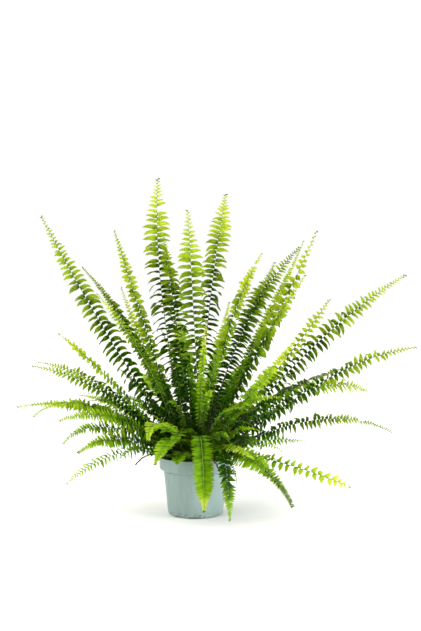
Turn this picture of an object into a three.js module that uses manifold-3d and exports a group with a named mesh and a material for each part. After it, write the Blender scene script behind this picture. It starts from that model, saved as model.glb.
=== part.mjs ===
// A sword fern in a 12 cm nursery pot. Millimetres, +Z up.
// The origin is the middle of the pot's foot, on the surface that the pot stands on.
// Seen from the front, +X is to the right and +Y is away. An azimuth is counted from +X towards +Y.
import * as THREE from "three";
import { mergeVertices } from "three/addons/utils/BufferGeometryUtils.js";
import Module from "manifold-3d";

const wasm = await Module();
wasm.setup();

// ---- Pot: thin moulded plastic, with a band round the rim and a raised ring under its floor ----
const POT_SIDES = 36;
const POT_HEIGHT = 94;
const RIM_RADIUS = 60;
const BAND_BOTTOM = 74;
const BODY_TOP_RADIUS = 52.6;
const BODY_FOOT_RADIUS = 45.2;
const POT_WALL = 1.4;
const LEDGE = 2;
const RIM_ROUNDING = 0.7;
const BAND_TAPER = 0.6;
const EDGE_RADIUS = 4;
const EDGE_BEVEL = 1.2;
const FLOOR_TOP = 4.4;
const HUB_RADIUS = 16;
const CHANNEL_HEIGHT = 3;
const CHANNEL_OUTER_RADIUS = 36;
const CHANNEL_SLOPE = 2;
const DRAIN_COUNT = 6;
const DRAIN_RADIUS = 3.5;
const DRAIN_SIDES = 8;
const NOTCH_COUNT = 4;
const NOTCH_WIDTH = 18;
const NOTCH_HEIGHT = 3;

// ---- Soil: peat that fills the pot and is heaped a little round the crown ----
const SEAT_GAP = 0.3;
const SOIL_EDGE = 85;
const SOIL_CROWN = 102;
const SOIL_RINGS = 3;

// ---- Fronds: a flat stalk from the soil to the tip, with leaflets cut to it on both sides ----
const CROWN_INNER = 5;
const CROWN_OUTER = 41;
const CROWN_SPREAD = 0.8;
const ROOT_DEPTH = 8;
const STALK_HALF_WIDTH = 1.0;
const STALK_HALF_THICKNESS = 0.85;
const TIP_HALF_WIDTH = 0.45;
const TIP_HALF_THICKNESS = 0.36;
const BLADE_HALF_THICKNESS = 0.32;
const STALK_STEPS = 2;
const DEAD_STALK_BENDS = 4;
const DEFAULT_PULL = 0.35;
const BARE_SHARE = 0.16;
const TWIST_END = 0.45;
const NOTCH_CROWDING = 1.2;

// ---- Leaflets: shares of a leaflet's own length, or of the way from one notch to the next ----
const POINT_FORWARD = 0.62;
const POINT_HANG = 0.3;
const BULGE_OUT = 0.55;
const BULGE_FORWARD = 0.06;
const BULGE_HANG = 0.08;
const NARROW_LEAFLET = 17;
const YOUNG_LEAFLET = 17;
const LOWEST_LEAFLET = 0.62;
const FULL_LENGTH_FROM = 0.22;
const TAPER_FROM = 0.42;
const TAPER_TO = 1.06;
const TAPER = 0.92;

// ---- Room between fronds, and what a leaflet tries to find it: a tilt, then a shorter length ----
const CLEARANCE = 1.5;
const POT_CLEARANCE = 1.5;
const FLOOR_CLEARANCE = 3;
const LENGTH_STEPS = [1, 0.8, 0.6, 0.42];
const TILT_STEPS = [0, 16, -16, 32, -32, 50];

// ---- The fronds ----

// Each frond: its name; where its tip is; the angles above level at which it leaves the soil and
// at which it ends; how far its blade is turned about the stalk, in degrees; the length of its
// longest leaflets; and the number of leaflet pairs. A frond with no root given stands on the crown
// in the azimuth of its tip, steep fronds inside. The pull is the share of its span over which each
// end keeps its own direction.
const FRONDS = [
  ["tall_1", [-64, 30, 556], 76, 93, 60, 28, 19],
  ["tall_2", [-60, 110, 468], 78, 70, 25, 26, 14],
  ["tall_3", [-12, -40, 494], 86, 84, -35, 23, 16, { root: [8, -8] }],
  ["tall_4", [50, 20, 528], 88, 80, -60, 22, 18, { root: [6, 10] }],
  ["left_1", [-262, 40, 494], 55, 62, 45, 27, 17],
  ["left_2", [-206, 130, 412], 66, 40, -25, 20, 12],
  ["left_3", [-145, 100, 475], 66, 68, 15, 19, 14],
  ["left_4", [-139, 160, 377], 60, 60, 10, 14, 10],
  ["left_5", [-216, -60, 297], 46, 38, 0, 20, 12],
  ["left_6", [-266, -20, 243], 45, 8, 25, 24, 13],
  ["left_7", [-272, 60, 245], 45, 5, 20, 20, 12],
  ["left_8", [-296, 10, 173], 48, -12, 20, 25, 14],
  ["left_9", [-255, -60, 165], 40, -45, 15, 18, 12, { root: [-35, -8] }],
  ["left_10", [-291, 100, 168], 42, -8, 10, 20, 12],
  ["left_11", [-220, 180, 178], 40, 0, 0, 16, 10],
  ["left_12", [-197, -160, 171], 40, -15, 10, 22, 11, { root: [-25, -25] }],
  ["left_13", [-203, -90, 127], 38, -50, 10, 20, 11, { root: [-34, -14] }],
  ["left_14", [-171, -150, 122], 33, -30, 10, 24, 11, { root: [-32, -30] }],
  ["left_15", [-197, -100, 66], 33, -42, 40, 18, 11, { root: [-38, -22] }],
  ["front_1", [-143, -150, 358], 80, 42, 0, 14, 13, { root: [-29, -18] }],
  ["front_2", [-66, -170, 143], 50, -50, 0, 16, 9],
  ["front_3", [-60, -110, 98], 60, -50, 0, 16, 8, { root: [-9, -22], pull: 0.5 }],
  ["front_4", [-27, -85, 95], 45, -60, 0, 9, 6, { root: [-14, -42], pull: 0.6 }],
  ["front_5", [15, -95, 23], 68, -88, 0, 17, 13, { root: [0, -34], pull: 0.95 }],
  ["front_6", [54, -110, 13], 50, -86, 0, 14, 14, { root: [16, -38], pull: 0.75 }],
  ["front_7", [66, -85, 63], 40, -75, 0, 7, 7, { root: [22, -34], pull: 0.6 }],
  ["front_8", [145, -160, 45], 30, -55, 0, 24, 12, { root: [31, -28] }],
  ["front_9", [-38, -56, 180], 75, -10, 0, 10, 7, { root: [-10, -13] }],
  ["front_10", [28, -100, 210], 75, 0, 0, 14, 8, { root: [9, -27] }],
  ["front_11", [18, -140, 315], 74, 50, 0, 20, 12, { root: [3, -19] }],
  ["right_1", [240, -100, 62], 22, -18, -50, 18, 12, { pull: 0.25 }],
  ["right_2", [139, -35, 90], 21, -18, 0, 9, 7],
  ["right_3", [325, 10, 132], 30, -28, -10, 22, 15],
  ["right_4", [186, 60, 110], 28, -8, 0, 14, 9, { root: [39, 18] }],
  ["right_5", [135, -90, 115], 30, -35, 0, 12, 8],
  ["right_6", [298, 90, 193], 40, -25, -20, 22, 13, { root: [33, 9] }],
  ["right_7", [357, -30, 274], 34, 8, -35, 24, 17],
  ["right_8", [268, 150, 230], 50, 12, -20, 22, 13],
  ["right_9", [357, 50, 394], 46, 30, -45, 26, 18],
  ["right_10", [244, 170, 355], 46, 48, -20, 13, 13, { root: [28, 21] }],
  ["right_11", [152, -150, 293], 60, 50, 0, 16, 12],
  ["right_12", [207, 60, 471], 68, 66, -20, 18, 15, { root: [26, 10] }],
  ["right_13", [175, -60, 390], 66, 55, -40, 19, 14, { root: [22, -9] }],
  ["right_14", [192, 130, 460], 68, 62, -20, 16, 14, { root: [21, 15] }],
  ["right_15", [176, 40, 441], 78, 44, -50, 27, 16, { root: [17, 5] }],
  ["right_16", [143, 170, 423], 74, 55, -35, 24, 14],
  ["right_17", [107, -40, 425], 80, 58, 0, 20, 14, { root: [14, -2] }],
  ["back_1", [59, 190, 350], 72, 55, 0, 14, 11],
  ["back_2", [-40, 230, 330], 66, 35, 0, 24, 12],
  ["back_3", [-120, 260, 215], 50, 0, 0, 24, 13],
  ["back_4", [10, 300, 190], 46, -15, 0, 25, 13],
  ["back_5", [110, 270, 240], 50, 8, 0, 24, 13],
  ["back_6", [150, 200, 130], 35, -25, 0, 22, 11],
  ["back_7", [-150, 190, 110], 35, -30, 0, 22, 11],
  ["back_8", [50, 240, 80], 30, -50, 0, 20, 10],
];

// Two old stalks that have lost their leaflets, bent over the rim.
const DEAD_STALKS = [
  { name: "dead_stalk_left", tip: [-98, -12, 81], root: [-44, -4], rise: 30, fall: -30, pull: 0.4 },
  { name: "dead_stalk_front", tip: [39, -76, 81], root: [9, -42], rise: 35, fall: -60, pull: 0.5 },
];

const fernGreen = new THREE.MeshStandardMaterial({ color: 0x5f9a0a, roughness: 0.5, metalness: 0 });
const youngGreen = new THREE.MeshStandardMaterial({ color: 0xa0c81e, roughness: 0.5, metalness: 0 });
const dryBrown = new THREE.MeshStandardMaterial({ color: 0x5a4526, roughness: 0.8, metalness: 0 });
const potPlastic = new THREE.MeshStandardMaterial({ color: 0x94a8a4, roughness: 0.4, metalness: 0 });
const peat = new THREE.MeshStandardMaterial({ color: 0x1a1208, roughness: 1, metalness: 0 });

const radians = THREE.MathUtils.degToRad;
const FIRST_NOTCH = STALK_STEPS + 1;
const DOWN = new THREE.Vector3(0, 0, -1);

// ---- Solids: joining and cutting ----

function toSolid(geometry) {
  const bare = geometry.clone();
  bare.deleteAttribute("normal");
  bare.deleteAttribute("uv");
  const merged = mergeVertices(bare, 1e-4);
  return new wasm.Manifold(new wasm.Mesh({
    numProp: 3,
    vertProperties: new Float32Array(merged.attributes.position.array),
    triVerts: new Uint32Array(merged.index.array),
  }));
}

function toGeometry(solid) {
  const mesh = solid.getMesh();
  const geometry = new THREE.BufferGeometry();
  geometry.setAttribute("position", new THREE.BufferAttribute(mesh.vertProperties, 3));
  geometry.setIndex(new THREE.BufferAttribute(mesh.triVerts, 1));
  return geometry;
}

function fromTriangles(points, triangles) {
  const geometry = new THREE.BufferGeometry();
  const position = new Float32Array(points.flatMap((point) => point.toArray()));
  geometry.setAttribute("position", new THREE.BufferAttribute(position, 3));
  geometry.setIndex(triangles);
  return geometry;
}

// A profile of [radius, height] pairs, turned about the pot's axis.
function turned(profile) {
  const points = profile.map(([radius, height]) => new THREE.Vector2(radius, height));
  return new THREE.LatheGeometry(points, POT_SIDES).rotateX(Math.PI / 2);
}

// ---- Pot ----

function makePot() {
  const innerRim = RIM_RADIUS - POT_WALL;
  let pot = toSolid(turned([
    [0, 0],
    [HUB_RADIUS, 0],
    [HUB_RADIUS + CHANNEL_SLOPE, CHANNEL_HEIGHT],
    [CHANNEL_OUTER_RADIUS - CHANNEL_SLOPE, CHANNEL_HEIGHT],
    [CHANNEL_OUTER_RADIUS, 0],
    [BODY_FOOT_RADIUS - EDGE_RADIUS, 0],
    [BODY_FOOT_RADIUS - EDGE_BEVEL, EDGE_BEVEL],
    [BODY_FOOT_RADIUS, EDGE_RADIUS],
    [BODY_TOP_RADIUS, BAND_BOTTOM - LEDGE],
    [RIM_RADIUS - LEDGE, BAND_BOTTOM],
    [RIM_RADIUS - BAND_TAPER, BAND_BOTTOM + LEDGE],
    [RIM_RADIUS, POT_HEIGHT - RIM_ROUNDING],
    [RIM_RADIUS - RIM_ROUNDING, POT_HEIGHT],
    [innerRim, POT_HEIGHT],
    [innerRim - BAND_TAPER, BAND_BOTTOM + LEDGE + POT_WALL],
    [BODY_TOP_RADIUS - POT_WALL, BAND_BOTTOM],
    [BODY_FOOT_RADIUS - POT_WALL, FLOOR_TOP + EDGE_BEVEL],
    [BODY_FOOT_RADIUS - POT_WALL - EDGE_BEVEL, FLOOR_TOP],
    [0, FLOOR_TOP],
  ]));
  const drainRing = (HUB_RADIUS + CHANNEL_OUTER_RADIUS) / 2;
  for (let i = 0; i < DRAIN_COUNT; i += 1) {
    const angle = (2 * Math.PI * (i + 0.5)) / DRAIN_COUNT;
    const drain = new THREE.CylinderGeometry(DRAIN_RADIUS, DRAIN_RADIUS, 4 * FLOOR_TOP, DRAIN_SIDES);
    drain.rotateX(Math.PI / 2);
    drain.translate(drainRing * Math.cos(angle), drainRing * Math.sin(angle), 0);
    pot = pot.subtract(toSolid(drain));
  }
  for (let i = 0; i < NOTCH_COUNT; i += 1) {
    const notch = new THREE.BoxGeometry(EDGE_RADIUS * 4, NOTCH_WIDTH, 2 * NOTCH_HEIGHT);
    notch.translate(BODY_FOOT_RADIUS, 0, 0);
    notch.rotateZ((2 * Math.PI * i) / NOTCH_COUNT);
    pot = pot.subtract(toSolid(notch));
  }
  return toGeometry(pot);
}

// ---- Soil ----

const soilRadius = RIM_RADIUS - POT_WALL - BAND_TAPER - SEAT_GAP;

function soilHeight(radius) {
  const fall = Math.min(1, (radius / soilRadius) ** 2);
  return SOIL_CROWN - (SOIL_CROWN - SOIL_EDGE) * fall;
}

function makeSoil(stalks) {
  const innerFoot = BODY_FOOT_RADIUS - POT_WALL - SEAT_GAP;
  const profile = [
    [0, FLOOR_TOP + SEAT_GAP],
    [innerFoot - EDGE_BEVEL, FLOOR_TOP + SEAT_GAP],
    [innerFoot, FLOOR_TOP + EDGE_BEVEL + SEAT_GAP],
    [BODY_TOP_RADIUS - POT_WALL - SEAT_GAP, BAND_BOTTOM + SEAT_GAP],
    [soilRadius, BAND_BOTTOM + LEDGE + POT_WALL + SEAT_GAP],
  ];
  for (let ring = SOIL_RINGS; ring > 0; ring -= 1) {
    const radius = (soilRadius * ring) / SOIL_RINGS;
    profile.push([radius, soilHeight(radius)]);
  }
  profile.push([0, SOIL_CROWN]);
  let soil = toSolid(turned(profile));
  for (const stalk of stalks) {
    soil = soil.subtract(toSolid(stalkHole(stalk)));
  }
  return toGeometry(soil);
}

// A plain four-sided hole, a little wider than the stalk and in line with its foot.
function stalkHole(stalk) {
  const foot = stalk.stations[0];
  const out = stalk.stations[1];
  const along = out.centre.clone().sub(foot.centre).normalize();
  const halfWidth = foot.halfWidth + SEAT_GAP;
  const halfThickness = foot.halfThickness + SEAT_GAP;
  const hole = new THREE.BoxGeometry(2 * halfWidth, 2 * halfThickness, 2 * ROOT_DEPTH + SEAT_GAP);
  hole.translate(0, 0, ROOT_DEPTH - SEAT_GAP / 2);
  hole.applyMatrix4(new THREE.Matrix4().makeBasis(foot.side, foot.up.clone().negate(), along));
  hole.translate(foot.centre.x, foot.centre.y, foot.centre.z);
  return hole;
}

// ---- Stalks ----

function direction(azimuth, elevation) {
  const level = Math.cos(elevation);
  return new THREE.Vector3(level * Math.cos(azimuth), level * Math.sin(azimuth), Math.sin(elevation));
}

// Where a frond stands on the crown: in the azimuth of its tip, the flatter the further out.
function crownPoint(frond) {
  const [x, y, z] = frond.tip;
  if (frond.root) {
    return new THREE.Vector3(frond.root[0], frond.root[1], soilHeight(Math.hypot(...frond.root)));
  }
  const slope = Math.max(0, Math.atan2(z - SOIL_CROWN, Math.hypot(x, y)) / (Math.PI / 2));
  const radius = CROWN_INNER + (CROWN_OUTER - CROWN_INNER) * (1 - slope) ** CROWN_SPREAD;
  const azimuth = Math.atan2(y, x);
  return new THREE.Vector3(radius * Math.cos(azimuth), radius * Math.sin(azimuth), soilHeight(radius));
}

function stalkCurve(frond) {
  const root = crownPoint(frond);
  const tip = new THREE.Vector3(...frond.tip);
  const azimuth = Math.atan2(tip.y - root.y, tip.x - root.x);
  const pull = root.distanceTo(tip) * (frond.pull ?? DEFAULT_PULL);
  const start = direction(azimuth, radians(frond.rise));
  const end = direction(azimuth, radians(frond.fall));
  const curve = new THREE.CubicBezierCurve3(
    root,
    root.clone().addScaledVector(start, pull),
    tip.clone().addScaledVector(end, -pull),
    tip,
  );
  return { curve, azimuth, start };
}

// The centre, the directions and the half sizes of the stalk's section at a share of its length.
function section(frond, path, share) {
  const tangent = path.curve.getTangentAt(share);
  const side = new THREE.Vector3(Math.sin(path.azimuth), -Math.cos(path.azimuth), 0);
  side.addScaledVector(tangent, -side.dot(tangent)).normalize();
  const up = side.clone().cross(tangent);
  const turn = radians(frond.turn) * THREE.MathUtils.smoothstep(share, 0, TWIST_END);
  const turnedSide = side.clone().multiplyScalar(Math.cos(turn)).addScaledVector(up, Math.sin(turn));
  return {
    share,
    centre: path.curve.getPointAt(share),
    side: turnedSide,
    up: turnedSide.clone().cross(tangent),
    halfWidth: THREE.MathUtils.lerp(STALK_HALF_WIDTH, TIP_HALF_WIDTH, share),
    halfThickness: THREE.MathUtils.lerp(STALK_HALF_THICKNESS, TIP_HALF_THICKNESS, share),
  };
}

// The foot in the soil, the bare stalk, and then one station at each notch between leaflets,
// closer together towards the tip.
function makeStalk(frond) {
  const path = stalkCurve(frond);
  const atSoil = section(frond, path, 0);
  const foot = { ...atSoil, centre: atSoil.centre.clone().addScaledVector(path.start, -ROOT_DEPTH) };
  const stations = [foot, atSoil];
  for (let i = 1; i < STALK_STEPS; i += 1) {
    stations.push(section(frond, path, (BARE_SHARE * i) / STALK_STEPS));
  }
  for (let i = 0; i <= frond.pairs; i += 1) {
    const along = 1 - (1 - i / frond.pairs) ** NOTCH_CROWDING;
    stations.push(section(frond, path, BARE_SHARE + (1 - BARE_SHARE) * along));
  }
  return { frond, path, stations, leaflets: [] };
}

// ---- Leaflets ----

// Share of the longest leaflet's length, from the lowest pair (0) to the tip (1).
function leafletProfile(share) {
  const growth = THREE.MathUtils.smoothstep(share, 0, FULL_LENGTH_FROM);
  const taper = TAPER * THREE.MathUtils.smootherstep(share, TAPER_FROM, TAPER_TO);
  return THREE.MathUtils.lerp(LOWEST_LEAFLET, 1, growth) * (1 - taper);
}

// The outer corners of one leaflet between two notches. It is sickle-shaped: it bulges on the side
// towards the soil and its point leans forwards, and it hangs under its own weight.
function leafletOutline(stalk, index, hand, scale, tilt) {
  const here = stalk.stations[index];
  const next = stalk.stations[index + 1];
  const middle = (here.share + next.share) / 2;
  const share = (middle - BARE_SHARE) / (1 - BARE_SHARE);
  const length = stalk.frond.leaflet * leafletProfile(share) * scale;
  const forward = next.centre.clone().sub(here.centre);
  const side = here.side.clone().add(next.side).normalize().multiplyScalar(hand);
  const up = here.up.clone().add(next.up).normalize();
  const out = side.multiplyScalar(Math.cos(tilt)).addScaledVector(up, Math.sin(tilt));
  const point = here.centre.clone()
    .addScaledVector(out, length)
    .addScaledVector(forward, POINT_FORWARD)
    .addScaledVector(DOWN, POINT_HANG * length);
  const bulge = here.centre.clone()
    .addScaledVector(out, BULGE_OUT * length)
    .addScaledVector(forward, BULGE_FORWARD)
    .addScaledVector(DOWN, BULGE_HANG * length);
  const middlePoint = here.centre.clone().add(next.centre).multiplyScalar(0.5);
  const normal = point.clone().sub(middlePoint).cross(forward).multiplyScalar(hand).normalize();
  const corners = length > NARROW_LEAFLET ? [bulge, point] : [point];
  const triangles = fan([stalkEdge(here, hand), ...corners, stalkEdge(next, hand)]);
  return { index, hand, corners, normal, triangles };
}

// A point on the right edge (hand 1) or the left edge (hand -1) of the stalk.
function stalkEdge(station, hand) {
  return station.centre.clone().addScaledVector(station.side, hand * station.halfWidth);
}

// A flat outline's triangles, as a fan from its first corner.
function fan(outline) {
  const triangles = [];
  for (let i = 1; i < outline.length - 1; i += 1) {
    triangles.push(withBall(new THREE.Triangle(outline[0], outline[i], outline[i + 1])));
  }
  return triangles;
}

function withBall(triangle) {
  const centre = triangle.getMidpoint(new THREE.Vector3());
  const corners = [triangle.a, triangle.b, triangle.c];
  triangle.centre = centre;
  triangle.reach = Math.max(...corners.map((corner) => corner.distanceTo(centre)));
  return triangle;
}

// ---- Keeping fronds clear of each other ----

const nearest = new THREE.Vector3();
const nearestToo = new THREE.Vector3();

function edgesOf(triangle) {
  return [
    new THREE.Line3(triangle.a, triangle.b),
    new THREE.Line3(triangle.b, triangle.c),
    new THREE.Line3(triangle.c, triangle.a),
  ];
}

function edgePierces(edge, triangle) {
  const reach = edge.distance();
  const ray = new THREE.Ray(edge.start, edge.delta(new THREE.Vector3()).divideScalar(reach));
  const hit = ray.intersectTriangle(triangle.a, triangle.b, triangle.c, false, nearest);
  return hit !== null && hit.distanceTo(edge.start) <= reach;
}

function tooClose(one, other, clearance) {
  if (one.centre.distanceTo(other.centre) > one.reach + other.reach + clearance) {
    return false;
  }
  const cornerIsNear = (corner, triangle) =>
    triangle.closestPointToPoint(corner, nearest).distanceTo(corner) < clearance;
  if ([one.a, one.b, one.c].some((corner) => cornerIsNear(corner, other))
    || [other.a, other.b, other.c].some((corner) => cornerIsNear(corner, one))) {
    return true;
  }
  for (const edge of edgesOf(one)) {
    for (const otherEdge of edgesOf(other)) {
      if (edge.distanceSqToLine3(otherEdge, nearest, nearestToo) < clearance ** 2) {
        return true;
      }
    }
  }
  return edgesOf(one).some((edge) => edgePierces(edge, other))
    || edgesOf(other).some((edge) => edgePierces(edge, one));
}

// The stalk's own middle surface.
function stalkTriangles(stalk) {
  const triangles = [];
  for (let i = 1; i < stalk.stations.length - 1; i += 1) {
    const [here, next] = [stalk.stations[i], stalk.stations[i + 1]];
    triangles.push(...fan([
      stalkEdge(here, 1), stalkEdge(next, 1), stalkEdge(next, -1), stalkEdge(here, -1),
    ]));
  }
  return triangles;
}

// A leaflet stays out of the pot and the soil, and off the surface that the pot stands on.
function meetsPot(triangle) {
  const radius = RIM_RADIUS + POT_CLEARANCE;
  const height = POT_HEIGHT + POT_CLEARANCE;
  const points = [triangle.a, triangle.b, triangle.c, triangle.centre];
  points.push(triangle.a.clone().lerp(triangle.b, 0.5), triangle.b.clone().lerp(triangle.c, 0.5));
  return points.some((point) => {
    const fromAxis = Math.hypot(point.x, point.y);
    const ground = Math.max(height, soilHeight(fromAxis) + POT_CLEARANCE);
    return point.z < FLOOR_CLEARANCE || (fromAxis < radius && point.z < ground);
  });
}

// Each leaflet is bent up or down, and then shortened, until it is clear of every other frond.
function growLeaflets(stalk, others) {
  for (let index = FIRST_NOTCH; index < stalk.stations.length - 1; index += 1) {
    for (const hand of [1, -1]) {
      const leaflet = clearLeaflet(stalk, index, hand, others);
      if (leaflet) {
        stalk.leaflets.push(leaflet);
      }
    }
  }
}

function clearLeaflet(stalk, index, hand, others) {
  for (const scale of LENGTH_STEPS) {
    for (const tilt of TILT_STEPS) {
      const leaflet = leafletOutline(stalk, index, hand, scale, radians(tilt));
      const blocked = leaflet.triangles.some((triangle) => meetsPot(triangle)
        || others.some((other) => tooClose(triangle, other, CLEARANCE)));
      if (!blocked) {
        return leaflet;
      }
    }
  }
  return null;
}

// ---- Frond solids ----

// Both faces of a frond are split alike, so that the blade keeps its thickness.
function frondGeometry(stalk) {
  const points = [];
  const triangles = [];
  const addPair = (centre, normal, half) => {
    points.push(centre.clone().addScaledVector(normal, half));
    points.push(centre.clone().addScaledVector(normal, -half));
    return points.length - 2;
  };
  const quad = (a, b, c, d) => triangles.push(a, b, c, a, c, d);
  const rights = [];
  const lefts = [];
  for (const station of stalk.stations) {
    rights.push(addPair(stalkEdge(station, 1), station.up, station.halfThickness));
    lefts.push(addPair(stalkEdge(station, -1), station.up, station.halfThickness));
  }
  const wall = (from, to) => quad(from, from + 1, to + 1, to);
  for (let i = 0; i < stalk.stations.length - 1; i += 1) {
    quad(rights[i], rights[i + 1], lefts[i + 1], lefts[i]);
    quad(rights[i] + 1, lefts[i] + 1, lefts[i + 1] + 1, rights[i + 1] + 1);
    for (const [hand, near, far] of [[1, rights[i], rights[i + 1]], [-1, lefts[i], lefts[i + 1]]]) {
      const leaflet = stalk.leaflets.find((one) => one.index === i && one.hand === hand);
      const corners = leaflet ? leaflet.corners : [];
      const outer = corners.map((corner) => addPair(corner, leaflet.normal, BLADE_HALF_THICKNESS));
      const outline = [near, ...outer, far];
      for (let j = 0; j < outline.length - 1; j += 1) {
        const [from, to] = hand > 0 ? [outline[j], outline[j + 1]] : [outline[j + 1], outline[j]];
        wall(from, to);
        if (j > 0) {
          triangles.push(near, from, to);
          triangles.push(near + 1, to + 1, from + 1);
        }
      }
    }
  }
  const last = stalk.stations.length - 1;
  quad(rights[last], rights[last] + 1, lefts[last] + 1, lefts[last]);
  quad(rights[0], lefts[0], lefts[0] + 1, rights[0] + 1);
  return fromTriangles(points, triangles);
}

// ---- The whole plant ----

const fern = new THREE.Group();

function addPiece(name, geometry, material) {
  const mesh = new THREE.Mesh(geometry, material);
  mesh.name = name;
  fern.add(mesh);
}

const stalks = FRONDS.map(([name, tip, rise, fall, turn, leaflet, pairs, more]) =>
  makeStalk({ name: `frond_${name}`, tip, rise, fall, turn, leaflet, pairs, ...more }));
const deadStalks = DEAD_STALKS.map((stalk) => makeStalk({ ...stalk, turn: 0, pairs: DEAD_STALK_BENDS }));
const everyStalk = [...stalks, ...deadStalks];
const middles = new Map(everyStalk.map((stalk) => [stalk, stalkTriangles(stalk)]));

addPiece("pot", makePot(), potPlastic);
addPiece("soil", makeSoil(everyStalk), peat);
for (const stalk of stalks) {
  const others = everyStalk.filter((other) => other !== stalk).flatMap((other) => [
    ...middles.get(other),
    ...other.leaflets.flatMap((leaflet) => leaflet.triangles),
  ]);
  growLeaflets(stalk, others);
}
for (const stalk of stalks) {
  const green = stalk.frond.leaflet < YOUNG_LEAFLET ? youngGreen : fernGreen;
  addPiece(stalk.frond.name, frondGeometry(stalk), green);
}
for (const stalk of deadStalks) {
  addPiece(stalk.frond.name, frondGeometry(stalk), dryBrown);
}

export default fern;
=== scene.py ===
"""A sword fern in a small plastic nursery pot: fronds, dead stalks, peat, pot and a plain studio.

Sizes in the tables are millimetres, as on the real plant, and MM turns them to Blender's metres.
Seen from the front, +X is to the right, +Y is away and +Z is up. The origin is the middle of the
pot's foot.
"""

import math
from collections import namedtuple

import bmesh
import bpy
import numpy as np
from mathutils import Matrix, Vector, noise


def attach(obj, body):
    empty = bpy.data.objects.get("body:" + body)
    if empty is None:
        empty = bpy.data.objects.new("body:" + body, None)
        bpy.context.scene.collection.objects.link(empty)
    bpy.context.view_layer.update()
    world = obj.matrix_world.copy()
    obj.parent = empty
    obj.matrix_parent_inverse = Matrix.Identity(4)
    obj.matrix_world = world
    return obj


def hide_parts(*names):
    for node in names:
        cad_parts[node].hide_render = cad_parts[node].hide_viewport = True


bl_info = {
    "name": "Potted sword fern",
    "version": (1, 0, 0),
    "blender": (4, 5, 0),
    "location": "3D View > Sidebar > Fern",
    "description": "Grows the fronds of a sword fern in its nursery pot, and sets the studio round it",
    "category": "Object",
}

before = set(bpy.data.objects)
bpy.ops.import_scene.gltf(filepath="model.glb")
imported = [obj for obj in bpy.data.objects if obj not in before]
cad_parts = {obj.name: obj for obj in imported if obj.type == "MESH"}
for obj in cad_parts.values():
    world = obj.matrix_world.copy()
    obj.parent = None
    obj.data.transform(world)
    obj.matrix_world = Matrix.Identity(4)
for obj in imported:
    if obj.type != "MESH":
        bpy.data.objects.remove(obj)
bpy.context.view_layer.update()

MM = 0.001
BODY = "root"
DOWN = np.array([0.0, 0.0, -1.0])

# Where the random draws of the fronds, the dead stalks, the inner fronds and the peat start.
SEED = 20
DEAD_STALK_SEED = SEED + 100
INNER_SEED = SEED + 200

# ---- The plant's measurements ----

# The soil's surface and the crown that the fronds stand on.
SOIL_RADIUS = 57.7
SOIL_EDGE = 85
SOIL_CROWN = 102
CROWN_INNER = 5
CROWN_OUTER = 41
CROWN_SPREAD = 0.8
ROOT_DEPTH = 8
# A frond's blade has its whole turn from this share of its length on.
TWIST_END = 0.45

# What a frond has unless its row says otherwise. Its root is where it stands on the soil, or None
# where the crown gives that; pull is the share of its span over which each end keeps its direction.
# Of its leaflets: gap is the room between two, as a share of their length; curl says how curled
# they are, and hang how much they hang; pitch says how far the lower ones are pitched, like the
# slats of a blind; wide is their width for their length; and blunt says how blunt they are. Brown
# says how browned the stalk is. Taper is the share of the leafy part from which leaflets get
# shorter, bare the share of the whole that has none, fresh how much younger the very tip is, and
# rough how unevenly leaflets stand.
USUAL = {
    "root": None,
    "pull": 0.35,
    "gap": 0.36,
    "curl": 0.0,
    "hang": 1.0,
    "pitch": 0.5,
    "wide": 0.34,
    "brown": 0.0,
    "taper": 0.62,
    "bare": 0.06,
    "blunt": 0.0,
    "fresh": 0.05,
    "rough": 1.0,
}

Frond = namedtuple("Frond", ["name", "tip", "rise", "fall", "turn", "leaflet", "young", "old", *USUAL])
Rib = namedtuple("Rib", "share centre ahead side up length")


def frond_of(name, tip, rise, fall, turn, leaflet, young, old, **own):
    """A frond: its name; where its tip is; the angles above level, in degrees, at which it leaves
    the soil and at which it ends; how far its blade is turned about the stalk; its longest
    leaflets; its age at the tip and at the lowest leaflets, from 0, just unrolled and almost
    yellow, to 1, old and dark; and what sets it apart from the usual."""
    angles = (math.radians(angle) for angle in (rise, fall, turn))
    return Frond(name, np.array(tip, float), *angles, leaflet, young, old, **{**USUAL, **own})


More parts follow.
